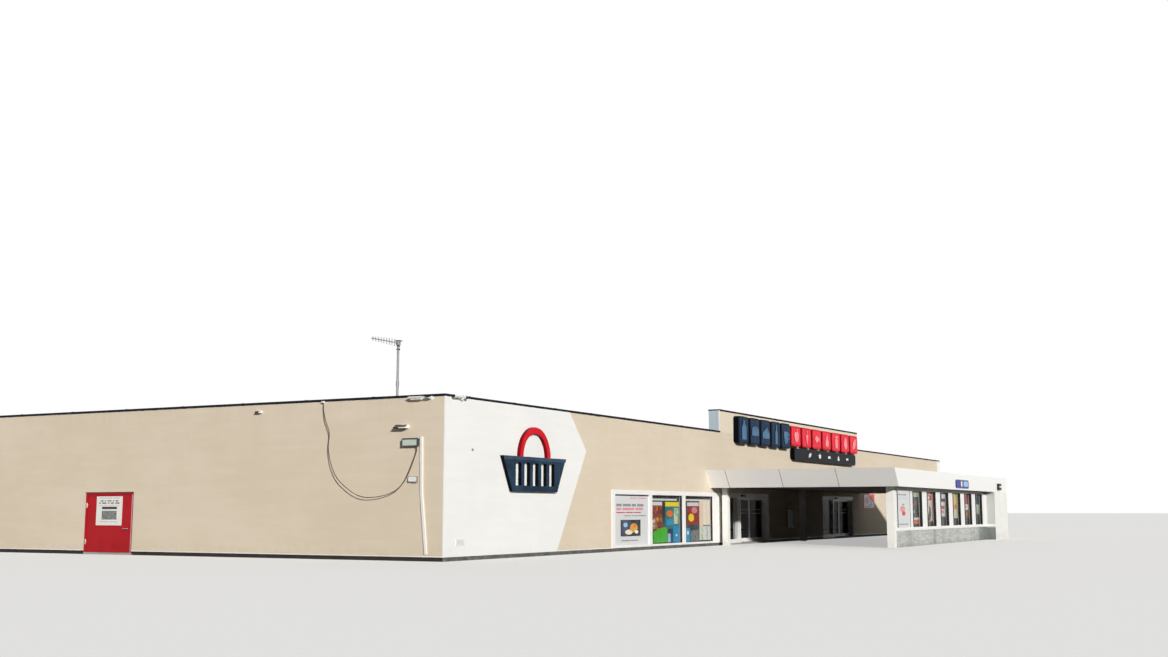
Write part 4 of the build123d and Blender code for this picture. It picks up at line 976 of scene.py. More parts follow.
class Repeat:
    """A Geometry Nodes tree that sets out blocks in rows, with some chance in their size."""

    kinds = {
        "Start": "Vector", "Column Step": "Vector", "Columns": "Int", "Row Step": "Vector", "Rows": "Int",
        "Stagger": "Vector", "Size": "Vector", "Size Chance": "Vector", "Seed": "Int", "Finish": "Material",
    }

    def __init__(self, name: str) -> None:
        """Build the tree under the given name."""
        self.tree = bpy.data.node_groups.new(name, "GeometryNodeTree")
        self.tree.is_modifier = True
        self.inputs: dict[str, str] = {}
        for label, kind in self.kinds.items():
            interface = self.tree.interface
            made = interface.new_socket(name=label, in_out="INPUT", socket_type=f"NodeSocket{kind}")
            self.inputs[label] = made.identifier
        self.tree.interface.new_socket(name="Mesh", in_out="OUTPUT", socket_type="NodeSocketGeometry")
        self._wire()

    def _node(self, kind: str, settings: dict, sockets: dict) -> bpy.types.NodeSocket:
        """Add a node with its settings, values and links, and return its first output."""
        made = self.tree.nodes.new(kind)
        for key, value in settings.items():
            setattr(made, key, value)
        for key, value in sockets.items():
            if isinstance(value, bpy.types.NodeSocket):
                self.tree.links.new(value, made.inputs[key])
            else:
                made.inputs[key].default_value = value
        return made.outputs[0]

    def _wire(self) -> None:
        """Lay out the nodes: a column of rows, the block on each point, then real meshes."""
        given = self.tree.nodes.new("NodeGroupInput").outputs
        line = {"mode": "OFFSET"}
        counted = {"Count": given["Columns"], "Offset": given["Column Step"]}
        row = self._node("GeometryNodeMeshLine", line, counted)
        sockets = {"Count": given["Rows"], "Start Location": given["Start"], "Offset": given["Row Step"]}
        column = self._node("GeometryNodeMeshLine", line, sockets)
        index = self._node("GeometryNodeInputIndex", {}, {})
        odd = self._node("ShaderNodeMath", {"operation": "MODULO"}, {0: index, 1: 2.0})
        staggered = {0: given["Stagger"], "Scale": odd}
        shift = self._node("ShaderNodeVectorMath", {"operation": "SCALE"}, staggered)
        moved = self._node("GeometryNodeSetPosition", {}, {"Geometry": column, "Offset": shift})
        rows = self._node("GeometryNodeInstanceOnPoints", {}, {"Points": moved, "Instance": row})
        points = self._node("GeometryNodeRealizeInstances", {}, {"Geometry": rows})
        sockets = {"Min": (0.0, 0.0, 0.0), "Max": given["Size Chance"], "Seed": given["Seed"]}
        chance = self._node("FunctionNodeRandomValue", {"data_type": "FLOAT_VECTOR"}, sockets)
        grown = self._node("ShaderNodeVectorMath", {"operation": "ADD"}, {0: given["Size"], 1: chance})
        block = self._node("GeometryNodeMeshCube", {}, {"Size": (1.0, 1.0, 1.0)})
        sockets = {"Points": points, "Instance": block, "Scale": grown}
        placed = self._node("GeometryNodeInstanceOnPoints", {}, sockets)
        real = self._node("GeometryNodeRealizeInstances", {}, {"Geometry": placed})
        dressed = self._node("GeometryNodeSetMaterial", {}, {"Geometry": real, "Material": given["Finish"]})
        end = self.tree.nodes.new("NodeGroupOutput")
        self.tree.links.new(dressed, end.inputs[0])

    def lay(
        self,
        name: str,
        material: bpy.types.Material,
        slot: str,
        start: Point,
        size: Point,
        columns: tuple[int, Point],
        rows: tuple[int, Point] = (1, (0.0, 0.0, 0.0)),
        stagger: Point = (0.0, 0.0, 0.0),
        chance: Point = (0.0, 0.0, 0.0),
    ) -> None:
        """slot: The material slot that the finish stands for; it is not used.
            start: The middle of the first block.
            size: The size of each block.
            columns: How many stand in a row, and the step between them.
            rows: How many rows there are, and the step between them.
            stagger: How far every second row is shifted.
            chance: The most that chance adds to the size.
        """
        holder = place_in_scene(name, bpy.data.meshes.new(name))
        modifier = holder.modifiers.new("set_out", "NODES")
        modifier.node_group = self.tree
        values = (start, columns[1], columns[0], rows[1], rows[0], stagger, size, chance, 7, material)
        for label, value in zip(self.kinds, values):
            modifier[self.inputs[label]] = value
        view = bpy.context.evaluated_depsgraph_get()
        mesh = bpy.data.meshes.new_from_object(holder.evaluated_get(view))
        holder.modifiers.remove(modifier)
        spare = holder.data
        holder.data = mesh
        bpy.data.meshes.remove(spare)
        mesh.name = name
        settle(holder, BUILDING)


@dataclass
class Assembly:
    """One part of the building, with its place and what its trim is made from."""

    site: Site
    stock: Stock
    blocks: Repeat

    def dress(self, **finishes: str) -> None:
        """Give CAD nodes a finish of the stock in place of their plain ones."""
        for node, finish in finishes.items():
            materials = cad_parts[node].data.materials
            materials.clear()
            materials.append(self.stock[finish])


@dataclass
class Hall(Assembly):
    """The hall's walls, base, roof and coping."""

    drip_height: float = 0.016
    drip_proud: float = 0.005
    apron_height: float = 0.014
    apron_proud: float = 0.010
    strap_width: float = 0.05
    strap_pitch: float = 1.5
    strap_proud: float = 0.002
    strap_reach: float = 0.15
    lap_pitch: float = 0.5
    lap_width: float = 0.05
    lap_height: float = 0.004
    skin: float = 0.006
    trim_width: float = 0.40

    def build(self) -> None:
        """Dress the CAD nodes and add the trim."""
        self.dress(front_wall="beige_render", wall_heads="beige_render", side_walls="beige_render")
        self.dress(back_wall="beige_render", sign_wall="sign_wall_render", wall_plinth="base_stone")
        self.dress(floor_slab="trowelled_floor", roof_slab="roofing_sheet", wall_coping="coping_sheet")
        self.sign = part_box("sign_wall")
        self._drip_strips()
        self._coping_apron()
        self._coping_straps()
        self._roof_laps()
        self._sign_wall_returns()

    def _drip_strips(self) -> None:
        """Add the white drip strip along the foot of the render."""
        site = self.site
        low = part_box("front_wall")[0].z
        top = low + self.drip_height
        proud = self.drip_proud
        strip = Form()
        starts = [site.left]
        ends = []
        for node in ("shop_frame", "door_1_frame", "door_2_frame"):
            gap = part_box(node)
            ends.append(gap[0].x)
            starts.append(gap[1].x)
        for start, end in zip(starts, [*ends, site.right]):
            strip.plate((start, site.front - proud, low), (end, site.front + proud, top), 0.0015)
        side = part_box("side_door_frame")
        for start, end in ((site.front, side[0].y), (side[1].y, site.back)):
            strip.plate((site.left - proud, start, low), (site.left + proud, end, top), 0.0015)
        strip.plate((site.right - proud, site.front, low), (site.right + proud, site.back, top))
        strip.plate((site.left, site.back - proud, low), (site.right, site.back + proud, top))
        strip.piece("drip_strip", self.stock["white_sheet"], "white_metal")

    def _coping_apron(self) -> None:
        """Add the coping's turned-down lip under its outer edge."""
        site = self.site
        out = self.apron_proud
        top = site.wall_top
        sign_low, sign_high = self.sign
        runs = (
            (site.left - out, site.front - out, sign_low.x, site.front, top),
            (sign_high.x, site.front - out, site.right + out, site.front, top),
            (sign_low.x, site.front - out, sign_high.x, site.front, sign_high.z),
            (site.left - out, site.front, site.left, site.back, top),
            (site.right, site.front, site.right + out, site.back, top),
            (site.left - out, site.back, site.right + out, site.back + out, top),
        )
        lip = Form()
        for left, near, right, far, level in runs:
            lip.plate((left, near, level - self.apron_height), (right, far, level), 0.001)
        lip.piece("coping_lip", self.stock["coping_sheet"], "coping_metal")

    def _coping_straps(self) -> None:
        """Add a cover strap over each joint of the coping."""
        site = self.site
        pitch = self.strap_pitch
        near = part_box("wall_coping")[0].y
        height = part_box("wall_coping")[1].z - self.sign[1].z + self.strap_proud
        depth = 2 * (site.front - near) + self.strap_reach
        length = depth + 2 * self.strap_proud
        short = depth - 2 * self.strap_proud
        tall = height + self.strap_proud
        middle = near + depth / 2
        inset = middle - site.front
        level = site.wall_top + height / 2 + self.strap_proud / 2
        wide = self.strap_width
        side_count = int((site.back - site.front) / pitch) - 1
        first = site.left + pitch / 2
        along = (pitch, 0.0, 0.0)
        back = (0.0, pitch, 0.0)
        rows = {
            "left": (first, middle, wide, length, int((self.sign[0].x - site.left) / pitch), along),
            "right": (
                site.right - pitch / 2, middle, wide, length,
                int((site.right - self.sign[1].x) / pitch), (-pitch, 0.0, 0.0),
            ),
            "side_left": (site.left + inset, site.front + pitch, length, wide, side_count, back),
            "side_right": (site.right - inset, site.front + pitch, short, wide, side_count, back),
            "back": (first, site.back - inset, wide, short, int((site.right - site.left) / pitch), along),
        }
        for run, (across, behind, width, reach, count, step) in rows.items():
            size = (width, reach, tall)
            place = (across, behind, level)
            self.blocks.lay(
                f"coping_straps_{run}", self.stock["coping_sheet"], "coping_metal", place, size, (
                    count, step
                )
            )

    def _roof_laps(self) -> None:
        """Add the lapped seams of the roofing sheet."""
        low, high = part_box("roof_slab")
        size = (high.x - low.x, self.lap_width, self.lap_height)
        count = int((high.y - low.y) / self.lap_pitch) - 1
        start = ((low.x + high.x) / 2, low.y + self.lap_pitch, high.z + self.lap_height / 2)
        rows = (count, (0.0, self.lap_pitch, 0.0))
        self.blocks.lay("roof_laps", self.stock["roofing_sheet"], "roofing", start, size, rows)

    def _sign_wall_returns(self) -> None:
        """Clad the ends of the raised wall and close the hall's far end with a white trim."""
        low, high = self.sign
        skin = self.skin
        right, front, top = self.site.right, self.site.front, self.site.wall_top
        panel = Form()
        for across in (low.x - skin, high.x):
            panel.plate((across, low.y, top), (across + skin, high.y, high.z), 0.001)
        # The returns are white sheet painted pale blue-grey as painted shade.
        panel.piece("sign_wall_returns", self.stock["pale_blue_sheet"], "white_metal")
        edge = Form()
        for across in (low.x - 2 * skin, high.x):
            edge.plate((across, low.y - skin, top), (across + 2 * skin, low.y + 0.03, high.z), 0.001)
        edge.plate((right - self.trim_width, front - skin, 0.07), (right + skin, front + skin, top))
        edge.piece("white_edge_trim", self.stock["white_sheet"], "white_metal")


@dataclass
class CornerPanel(Assembly):
    """The white panel at the corner, with its raised basket emblem."""

    rim_height: float = 0.07
    rim_depth: float = 0.012
    rim_lean: float = 0.012

    def build(self) -> None:
        """Dress the panel, and add the basket's rim and the bead on the walls' corner."""
        self.dress(corner_panel="white_render", wall_motif="slate_sign", motif_handle="red_sign")
        low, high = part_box("wall_motif")
        lean = (high.x - low.x) * self.rim_lean
        foot = high.z - self.rim_height
        outline = [(low.x + lean, foot), (high.x - lean, foot), (high.x, high.z), (low.x, high.z)]
        rim = Form().prism(outline, Facing.FRONT, low.y - self.rim_depth, low.y, 0.004)
        rim.piece("emblem_rim", self.stock["slate_trim"], "slate_plastic")
        low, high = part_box("corner_panel")
        far_corner = (low.x + 0.012, low.y + 0.02, high.z - 0.002)
        bead = Form().plate((low.x - 0.003, low.y - 0.002, low.z), far_corner, 0.001)
        bead.piece("corner_bead", self.stock["white_sheet"], "white_render")


def both_sides(*right: Flat) -> tuple[Flat, ...]:
    """Return an outline of which the right side is given, from the foot to the top."""
    return right + tuple((1 - across, up) for across, up in reversed(right) if across != 0.5)


class Goods(Enum):
    """Plain grocery pictures, as outlines in a square with sides of 1."""

    CARTON = (both_sides((0.74, 0.08), (0.74, 0.62), (0.6, 0.8), (0.6, 0.92)),)
    BREAD = (both_sides((0.9, 0.3), (0.9, 0.52), (0.82, 0.66), (0.66, 0.72)),)
    CHEESE = (((0.1, 0.24), (0.9, 0.24), (0.9, 0.5), (0.62, 0.78), (0.1, 0.5)),)
    BOTTLE = (both_sides((0.64, 0.05), (0.64, 0.55), (0.56, 0.7), (0.56, 0.94)),)
    CUP = (
        ((0.2, 0.7), (0.26, 0.2), (0.32, 0.12), (0.6, 0.12), (0.66, 0.2), (0.72, 0.7)),
        (
            (0.74, 0.62),
            (0.73, 0.55),
            (0.82, 0.53),
            (0.79, 0.42),
            (0.71, 0.38),
            (0.7, 0.3),
            (0.86, 0.36),
            (0.9, 0.6),
        ),
    )
    APPLE = (
        both_sides(
            (0.5, 0.16), (0.64, 0.12), (0.8, 0.28), (0.88, 0.56), (0.8, 0.74), (0.62, 0.8), (0.5, 0.72)
        ),
        ((0.5, 0.82), (0.66, 0.85), (0.74, 0.97), (0.56, 0.93)),
    )
    CARROT = (
        both_sides((0.5, 0.04), (0.56, 0.1), (0.7, 0.66), (0.5, 0.72)),
        both_sides((0.5, 0.76), (0.62, 0.96), (0.5, 0.9)),
    )
    FISH = (
        (
            (0.06, 0.5), (0.22, 0.32), (0.46, 0.26), (0.7, 0.42), (0.92, 0.26),
            (0.86, 0.5), (0.92, 0.74), (0.7, 0.58), (0.46, 0.74), (0.22, 0.68),
        ),
    )
    PEAR = (both_sides((0.66, 0.1), (0.8, 0.24), (0.8, 0.42), (0.64, 0.62), (0.6, 0.82), (0.5, 0.88)),)
    JAR = (
        both_sides((0.68, 0.08), (0.76, 0.16), (0.76, 0.64), (0.68, 0.72)),
        both_sides((0.72, 0.76), (0.72, 0.9)),
    )
    EGG = (both_sides((0.5, 0.08), (0.7, 0.14), (0.82, 0.34), (0.78, 0.6), (0.66, 0.84), (0.5, 0.92)),)
    LEAF = (((0.14, 0.14), (0.58, 0.22), (0.82, 0.5), (0.86, 0.88), (0.5, 0.84), (0.2, 0.6)),)

    def draw(self, form: Form, corner: Flat, size: Flat, face: float, depth: float) -> None:
        """Add the picture's raised outlines to a form.

        Args:
            form: The form that takes them.
            corner: The picture's lower left corner, along X and Z.
            size: Its width and height.
            face: The Y of the surface that it stands on.
            depth: How far it stands proud of that surface.
        """
        for outline in self.value:
            placed = [(corner[0] + across * size[0], corner[1] + up * size[1]) for across, up in outline]
            form.prism(placed, Facing.FRONT, face - depth, face, depth * 0.3)


@dataclass
class SignBoard(Assembly):
    """The roof sign: a row of navy tiles, a row of red ones, and a black bar."""

    navy_goods: tuple[Goods, ...] = (Goods.CARTON, Goods.BREAD, Goods.CHEESE, Goods.BOTTLE, Goods.CUP)
    red_goods: tuple[Goods, ...] = (
        Goods.APPLE, Goods.CARROT, Goods.FISH, Goods.PEAR, Goods.JAR, Goods.EGG, Goods.LEAF
    )
    bar_goods: tuple[Goods, ...] = (Goods.LEAF, Goods.APPLE, Goods.BREAD, Goods.PEAR, Goods.FISH)
    navy_width: float = 0.7
    red_width: float = 0.8
    panel_gap: float = 0.042
    panel_depth: float = 0.008
    picture_depth: float = 0.016
    bar_picture_depth: float = 0.012

    def build(self) -> None:
        """Dress the sign's bodies and add the panels and pictures."""
        self.dress(sign_navy="navy_sign", sign_red="red_sign", sign_bar="black_sign")
        self._row("navy", self.navy_goods, self.navy_width)
        self._row("red", self.red_goods, self.red_width)
        self._bar()

    def _row(self, colour: str, goods: Sequence[Goods], width: float) -> None:
        """Add the raised panels and pictures of one row of tiles.

        Args:
            colour: The colour's name, as in the CAD node, the finishes and the slot.
            goods: Its pictures from left to right.
            width: The width of one tile.
        """
        low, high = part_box(f"sign_{colour}")
        pitch = (high.x - low.x - width) / (len(goods) - 1)
        gap = self.panel_gap
        side = min(width, high.z - low.z) - 2.6 * gap
        face = low.y - self.panel_depth
        panels, pictures = Form(), Form()
        for number, kind in enumerate(goods):
            left = low.x + number * pitch
            outline = rounded(left + gap, low.z + gap, left + width - gap, high.z - gap, 0.06)
            panels.prism(outline, Facing.FRONT, face, low.y, 0.003)
            corner = (left + (width - side * 1.1) / 2, (low.z + high.z - side) / 2)
            kind.draw(pictures, corner, (side * 1.1, side), face, self.picture_depth)
        panels.piece(f"sign_{colour}_panels", self.stock[f"{colour}_panel"], f"{colour}_plastic")
        pictures.piece(f"sign_{colour}_pictures", self.stock[f"{colour}_picture"], f"{colour}_plastic")

    def _bar(self) -> None:
        """Add the small white pictures on the black bar."""
        low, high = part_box("sign_bar")
        side = (high.z - low.z) * 0.56
        pitch = (high.x - low.x) * 0.155
        first = (low.x + high.x) / 2 - 2 * pitch - side * 0.7 + 0.2
        pictures = Form()
        for number, kind in enumerate(self.bar_goods):
            corner = (first + number * pitch, (low.z + high.z - side) / 2)
            kind.draw(pictures, corner, (side * 1.5, side), low.y, self.bar_picture_depth)
        pictures.piece("sign_bar_pictures", self.stock["white_plastic"], "white_metal")


@dataclass(frozen=True)
class Bar:
    """A bar on a board by its left, top, right and bottom, broken into dashes of the given lengths."""

    ink: Ink
    left: float
    top: float
    right: float
    bottom: float
    dashes: tuple[int, ...] = (1,)

    def outlines(self) -> list[tuple[Flat, ...]]:
        """Return the outline of each dash, with gaps of one unit between them."""
        unit = (self.right - self.left) / (sum(self.dashes) + len(self.dashes) - 1)
        left = self.left
        row = []
        for length in self.dashes:
            right = left + length * unit
            row.append(((left, self.bottom), (right, self.bottom), (right, self.top), (left, self.top)))
            left = right + unit
        return row


@dataclass(frozen=True)
class Spot:
    """An oval on a board by its middle, width and height."""

    ink: Ink
    across: float
    down: float
    width: float
    height: float

    def outlines(self) -> list[tuple[Flat, ...]]:
        """Return its outline."""
        return [oval(self.across, self.down, self.width / 2, -self.height / 2, 14)]


@dataclass(frozen=True)
class Cut:
    """A free shape on a board by its corners."""

    ink: Ink
    corners: tuple[Flat, ...]

    def outlines(self) -> list[tuple[Flat, ...]]:
        """Return its outline."""
        return [self.corners]


@dataclass(frozen=True)
class Board:
    """A printed board and the shapes on it, in shares of the board from its upper left corner."""

    base: Ink
    shapes: tuple["Bar | Spot | Cut", ...]

    def layers(self) -> list[tuple[Ink, tuple[Flat, ...]]]:
        """Return the ink and the outline of each shape, from the lowest to the uppermost."""
        return [(shape.ink, outline) for shape in self.shapes for outline in shape.outlines()]


GASKET = 0.008
SHOP_BOARDS = (
    Board(
        Ink.PAPER,
        (
            # Painted shadow: the black bar along the poster's top is the shadow of the frame's head.
            Bar(Ink.BLACK, 0.0, 0.0, 1.0, 0.03),
            Bar(Ink.PINK, 0.46, 0.06, 0.94, 0.08, (5, 7)),
            Bar(Ink.GREY, 0.06, 0.185, 0.84, 0.235, (4, 6, 3, 5)),
            Bar(Ink.PINK, 0.06, 0.26, 0.82, 0.305, (3, 8, 5)),
            Bar(Ink.RED, 0.06, 0.345, 0.76, 0.362, (7, 6, 6)),
            Bar(Ink.GREY, 0.28, 0.41, 0.90, 0.425, (6, 5, 7)),
            Bar(Ink.BLACK, 0.18, 0.50, 0.74, 0.82),
            Bar(Ink.NIGHT, 0.20, 0.52, 0.46, 0.80),
            Spot(Ink.CREAM, 0.40, 0.74, 0.22, 0.10),
            Spot(Ink.GOLD, 0.54, 0.66, 0.22, 0.18),
            Spot(Ink.ORANGE, 0.56, 0.62, 0.10, 0.08),
            Spot(Ink.SKY, 0.30, 0.60, 0.12, 0.09),
            Spot(Ink.WHITE, 0.62, 0.74, 0.10, 0.07),
            Bar(Ink.GREY, 0.20, 0.895, 0.66, 0.91, (6, 5)),
        ),
    ),
    Board(
        Ink.SHADE,
        (
            Bar(Ink.BLACK, 0.0, 0.0, 1.0, 0.05),
            Bar(Ink.WHITE, 0.0, 0.070, 0.90, 0.108),
            Bar(Ink.HARVEST, 0.0, 0.135, 0.42, 0.70),
            Bar(Ink.WHITE, 0.0, 0.135, 0.42, 0.21),
            Bar(Ink.PRODUCE, 0.05, 0.46, 0.24, 0.66),
            Bar(Ink.TEAL, 0.52, 0.135, 0.98, 0.70),
            Bar(Ink.YELLOW, 0.52, 0.135, 0.98, 0.23),
            Bar(Ink.MEADOW, 0.80, 0.26, 0.95, 0.60),
            Spot(Ink.ORANGE, 0.66, 0.38, 0.20, 0.14),
            Bar(Ink.BLUE, 0.56, 0.50, 0.78, 0.62),
            Bar(Ink.CREAM, 0.0, 0.74, 0.10, 0.99),
            Cut(
                Ink.LIME,
                ((0.14, 0.98), (0.58, 0.98), (0.58, 0.70), (0.50, 0.66), (0.28, 0.70), (0.14, 0.76)),
            ),
            Bar(Ink.SKY, 0.60, 0.80, 0.68, 0.98),
            Bar(Ink.NIGHT, 0.68, 0.70, 0.76, 0.98),
            Bar(Ink.BLUE, 0.76, 0.64, 0.96, 0.99),
            Spot(Ink.WHITE, 0.87, 0.84, 0.05, 0.05),
            Bar(Ink.GREY, 0.965, 0.10, 1.0, 0.99),
        ),
    ),
    Board(
        Ink.SHADE,
        (
            Bar(Ink.BLACK, 0.0, 0.0, 1.0, 0.05),
            Bar(Ink.WHITE, 0.0, 0.070, 1.0, 0.108),
            Bar(Ink.WINE, 0.17, 0.14, 0.58, 0.62),
            Bar(Ink.WHITE, 0.17, 0.14, 0.58, 0.22),
            Spot(Ink.PINK, 0.42, 0.31, 0.20, 0.14),
            Spot(Ink.YELLOW, 0.31, 0.47, 0.20, 0.18),
            Bar(Ink.PEACH, 0.60, 0.108, 0.72, 0.66),
            Bar(Ink.CREAM, 0.73, 0.108, 0.99, 0.64),
            Bar(Ink.PEACH, 0.84, 0.12, 0.88, 0.62),
            Bar(Ink.PAPER, 0.60, 0.66, 0.99, 0.97),
            Bar(Ink.MEADOW, 0.66, 0.68, 0.72, 0.97),
            Bar(Ink.MEADOW, 0.84, 0.68, 0.90, 0.97),
            Bar(Ink.BLUE, 0.0, 0.70, 0.26, 0.99),
            Spot(Ink.WHITE, 0.08, 0.80, 0.06, 0.09),
            Spot(Ink.WHITE, 0.18, 0.80, 0.06, 0.09),
            Bar(Ink.SPECKLE, 0.28, 0.74, 0.56, 0.99),
        ),
    ),
)
SCREEN_BOARDS = (
    Board(
        Ink.PAPER,
        (
            Bar(Ink.GREY, 0.06, 0.10, 0.70, 0.135, (4, 3, 5)),
            Bar(Ink.SKY, 0.10, 0.20, 0.78, 0.215, (6, 6, 4)),
            Spot(Ink.PINK, 0.38, 0.50, 0.40, 0.17),
            Spot(Ink.RED, 0.46, 0.62, 0.26, 0.12),
            Bar(Ink.LIME, 0.38, 0.36, 0.52, 0.395),
            Bar(Ink.GREY, 0.08, 0.895, 0.78, 0.925, (7, 4)),
        ),
    ),
    Board(
        Ink.SHADE,
        (
            Bar(Ink.MEADOW, 0.05, 0.02, 0.95, 0.16),
            Bar(Ink.WHITE, 0.10, 0.05, 0.40, 0.12),
            Spot(Ink.PINK, 0.30, 0.40, 0.24, 0.13),
            Spot(Ink.RED, 0.62, 0.34, 0.20, 0.11),
            Bar(Ink.WHITE, 0.22, 0.54, 0.44, 0.62),
            Bar(Ink.ORANGE, 0.08, 0.80, 0.92, 0.92),
            Bar(Ink.WHITE, 0.08, 0.74, 0.92, 0.80),
        ),
    ),
    Board(
        Ink.SHADE,
        (
            Bar(Ink.RED, 0.04, 0.04, 0.96, 0.88),
            Bar(Ink.CREAM, 0.09, 0.07, 0.91, 0.85),
            Bar(Ink.RED, 0.16, 0.10, 0.84, 0.24),
            Bar(Ink.WHITE, 0.20, 0.13, 0.60, 0.21),
            Cut(
                Ink.SHADE,
                ((0.30, 0.84), (0.62, 0.84), (0.76, 0.66), (0.70, 0.46))
                + ((0.52, 0.38), (0.56, 0.54), (0.44, 0.64)),
            ),
            Bar(Ink.BLACK, 0.0, 0.90, 1.0, 1.0),
        ),
    ),
    Board(
        Ink.SHADE,
        (
            Bar(Ink.WHITE, 0.06, 0.03, 0.44, 0.20),
            Bar(Ink.WHITE, 0.52, 0.05, 0.94, 0.18),
            Bar(Ink.WHITE, 0.10, 0.28, 0.90, 0.72),
            Bar(Ink.RED, 0.20, 0.40, 0.80, 0.50),
            Bar(Ink.PINK, 0.28, 0.54, 0.72, 0.62),
            Bar(Ink.BLACK, 0.0, 0.80, 1.0, 1.0),
        ),
    ),
    Board(
        Ink.SHADE,
        (
            Bar(Ink.GOLD, 0.04, 0.03, 0.96, 0.50),
            Bar(Ink.CREAM, 0.04, 0.50, 0.96, 0.78),
            Spot(Ink.RED, 0.34, 0.62, 0.20, 0.12),
            Spot(Ink.ORANGE, 0.66, 0.42, 0.28, 0.16),
            Bar(Ink.BLACK, 0.0, 0.86, 1.0, 1.0),
        ),
    ),
    Board(
        Ink.SHADE,
        (
            Bar(Ink.WINE, 0.05, 0.04, 0.95, 0.32),
            Bar(Ink.WHITE, 0.10, 0.34, 0.90, 0.52),
            Bar(Ink.PINK, 0.16, 0.38, 0.60, 0.46),
            Bar(Ink.HARVEST, 0.08, 0.54, 0.92, 0.76),
            Bar(Ink.BLACK, 0.0, 0.82, 1.0, 1.0),
        ),
    ),
    Board(
        Ink.SHADE,
        (
            Bar(Ink.MEADOW, 0.06, 0.34, 0.94, 0.66),
            Bar(Ink.SKY, 0.14, 0.40, 0.60, 0.54),
            Bar(Ink.BLACK, 0.0, 0.76, 1.0, 1.0),
        ),
    ),
)
WALL_BOARD = Board(
    Ink.RED,
    (
        Bar(Ink.WHITE, 0.03, 0.05, 0.97, 0.95),
        Cut(Ink.RED, ((0.62, 0.30), (0.78, 0.46), (1.0, 0.62), (1.0, 0.0), (0.50, 0.0))),
        Spot(Ink.PINK, 0.30, 0.45, 0.34, 0.44),
        Spot(Ink.SKY, 0.62, 0.76, 0.26, 0.24),
        Bar(Ink.GREY, 0.10, 0.84, 0.52, 0.88, (4, 6)),
    ),
)
DOOR_MARKS = (
    Bar(Ink.GREY, 0.12, 0.05, 0.90, 0.065, (9, 5)),
    Bar(Ink.BLACK, 0.16, 0.14, 0.84, 0.175, (2, 1, 3, 1, 2)),
    Bar(Ink.BLACK, 0.10, 0.215, 0.90, 0.25, (1, 3, 1, 2, 3)),
    Bar(Ink.PINK, 0.12, 0.30, 0.90, 0.312, (8, 9)),
    Bar(Ink.BLACK, 0.22, 0.36, 0.80, 0.44),
    Bar(Ink.SPECKLE, 0.22, 0.50, 0.80, 0.80),
    Bar(Ink.GREY, 0.20, 0.87, 0.82, 0.885, (7, 6)),
)


@dataclass
class Display:
    """Printed boards of one group, built up in thin layers."""

    name: str
    stock: Stock
    board_depth: float = 0.008
    layer: float = 0.0008

    def __post_init__(self) -> None:
        """Start with no layers."""
        self.forms: dict[Ink, Form] = {}

    def fill(self, pane: Pane, board: Board, face: float) -> None:
        """Fill one pane with a board and the shapes on it.

        Args:
            pane: Its left, bottom, right and top.
            board: The board.
            face: The Y of the board's face.
        """
        left, bottom, right, top = pane
        form = self.forms.setdefault(board.base, Form())
        form.plate((left, face, bottom), (right, face + self.board_depth, top))
        for number, (ink, outline) in enumerate(board.layers(), 1):
            form = self.forms.setdefault(ink, Form())
            placed = [(left + u * (right - left), top - v * (top - bottom)) for u, v in outline]
            form.prism(placed, Facing.FRONT, face - self.layer * number, face)

    def pieces(self, body: str = BUILDING) -> None:
        """Turn the gathered layers into pieces that ride on a body, one for each print."""
        for ink, form in self.forms.items():
            form.piece(f"{self.name}_{ink.name.lower()}", self.stock[ink.value.name], "white_metal", body)


def gasket(form: Form, low: Vector, high: Vector, face: float, depth: float = 0.004) -> None:
    """Add the rubber line round a pane.

    Args:
        form: The form that takes it.
        low: The pane's lowest corner.
        high: The pane's highest corner.
        face: The Y of the glass that it lies on.
        depth: How far it stands towards the viewer, or away from them below zero.
    """
    near, far = sorted((face, face - depth))
    for bottom in (low.z, high.z - GASKET):
        form.plate((low.x, near, bottom), (high.x, far, bottom + GASKET), 0.001)
    for left in (low.x, high.x - GASKET):
        form.plate((left, near, low.z + GASKET), (left + GASKET, far, high.z - GASKET), 0.001)


def glaze(form: Form, pane: Pane, face: float, front: float, skin: float = 0.002) -> None:
    """Add the rubber line round a fixed pane, and a dark rubber lining on its jambs in front of it, which
    also stands for painted shade in the reveals.

    Args:
        form: The form that takes them.
        pane: The pane's left, bottom, right and top.
        face: The Y of the glass.
        front: The Y that the lining comes forward to.
        skin: How thick the lining is.
    """
    left, bottom, right, top = pane
    low, high = Vector((left, face, bottom)), Vector((right, face, top))
    gasket(form, low, high, face)
    for across in (low.x, high.x - skin):
        form.plate((across, front, low.z), (across + skin, low.y, high.z))


@dataclass
class ShopWindow(Assembly):
    """The long shop window in three panes, with plain display boards behind the glass."""

    panes: tuple[Flat, ...] = ((6.290, 7.946), (8.088, 9.745), (9.887, 11.543))
    bottom: float = 0.115
    top: float = 1.185
    back: float = 0.076
    poster_face: float = 0.012
    lining_face: float = 0.016

    def build(self) -> None:
        """Dress the frame, and add the gaskets and the displays."""
        site = self.site
        self.dress(shop_frame="white_sheet", shop_glass="window_glass")
        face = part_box("shop_glass")[0].y
        lines = Form()
        display = Display("shop_display", self.stock)
        for number, ((left, right), board) in enumerate(zip(self.panes, SHOP_BOARDS)):
            pane = (site.along(left), self.bottom, site.along(right), self.top)
            glaze(lines, pane, face, site.behind(self.lining_face))
            display.fill(pane, board, site.behind(self.back if number else self.poster_face))
        lines.piece("shop_window_gaskets", self.stock["rubber"], "cable_rubber")
        display.pieces()


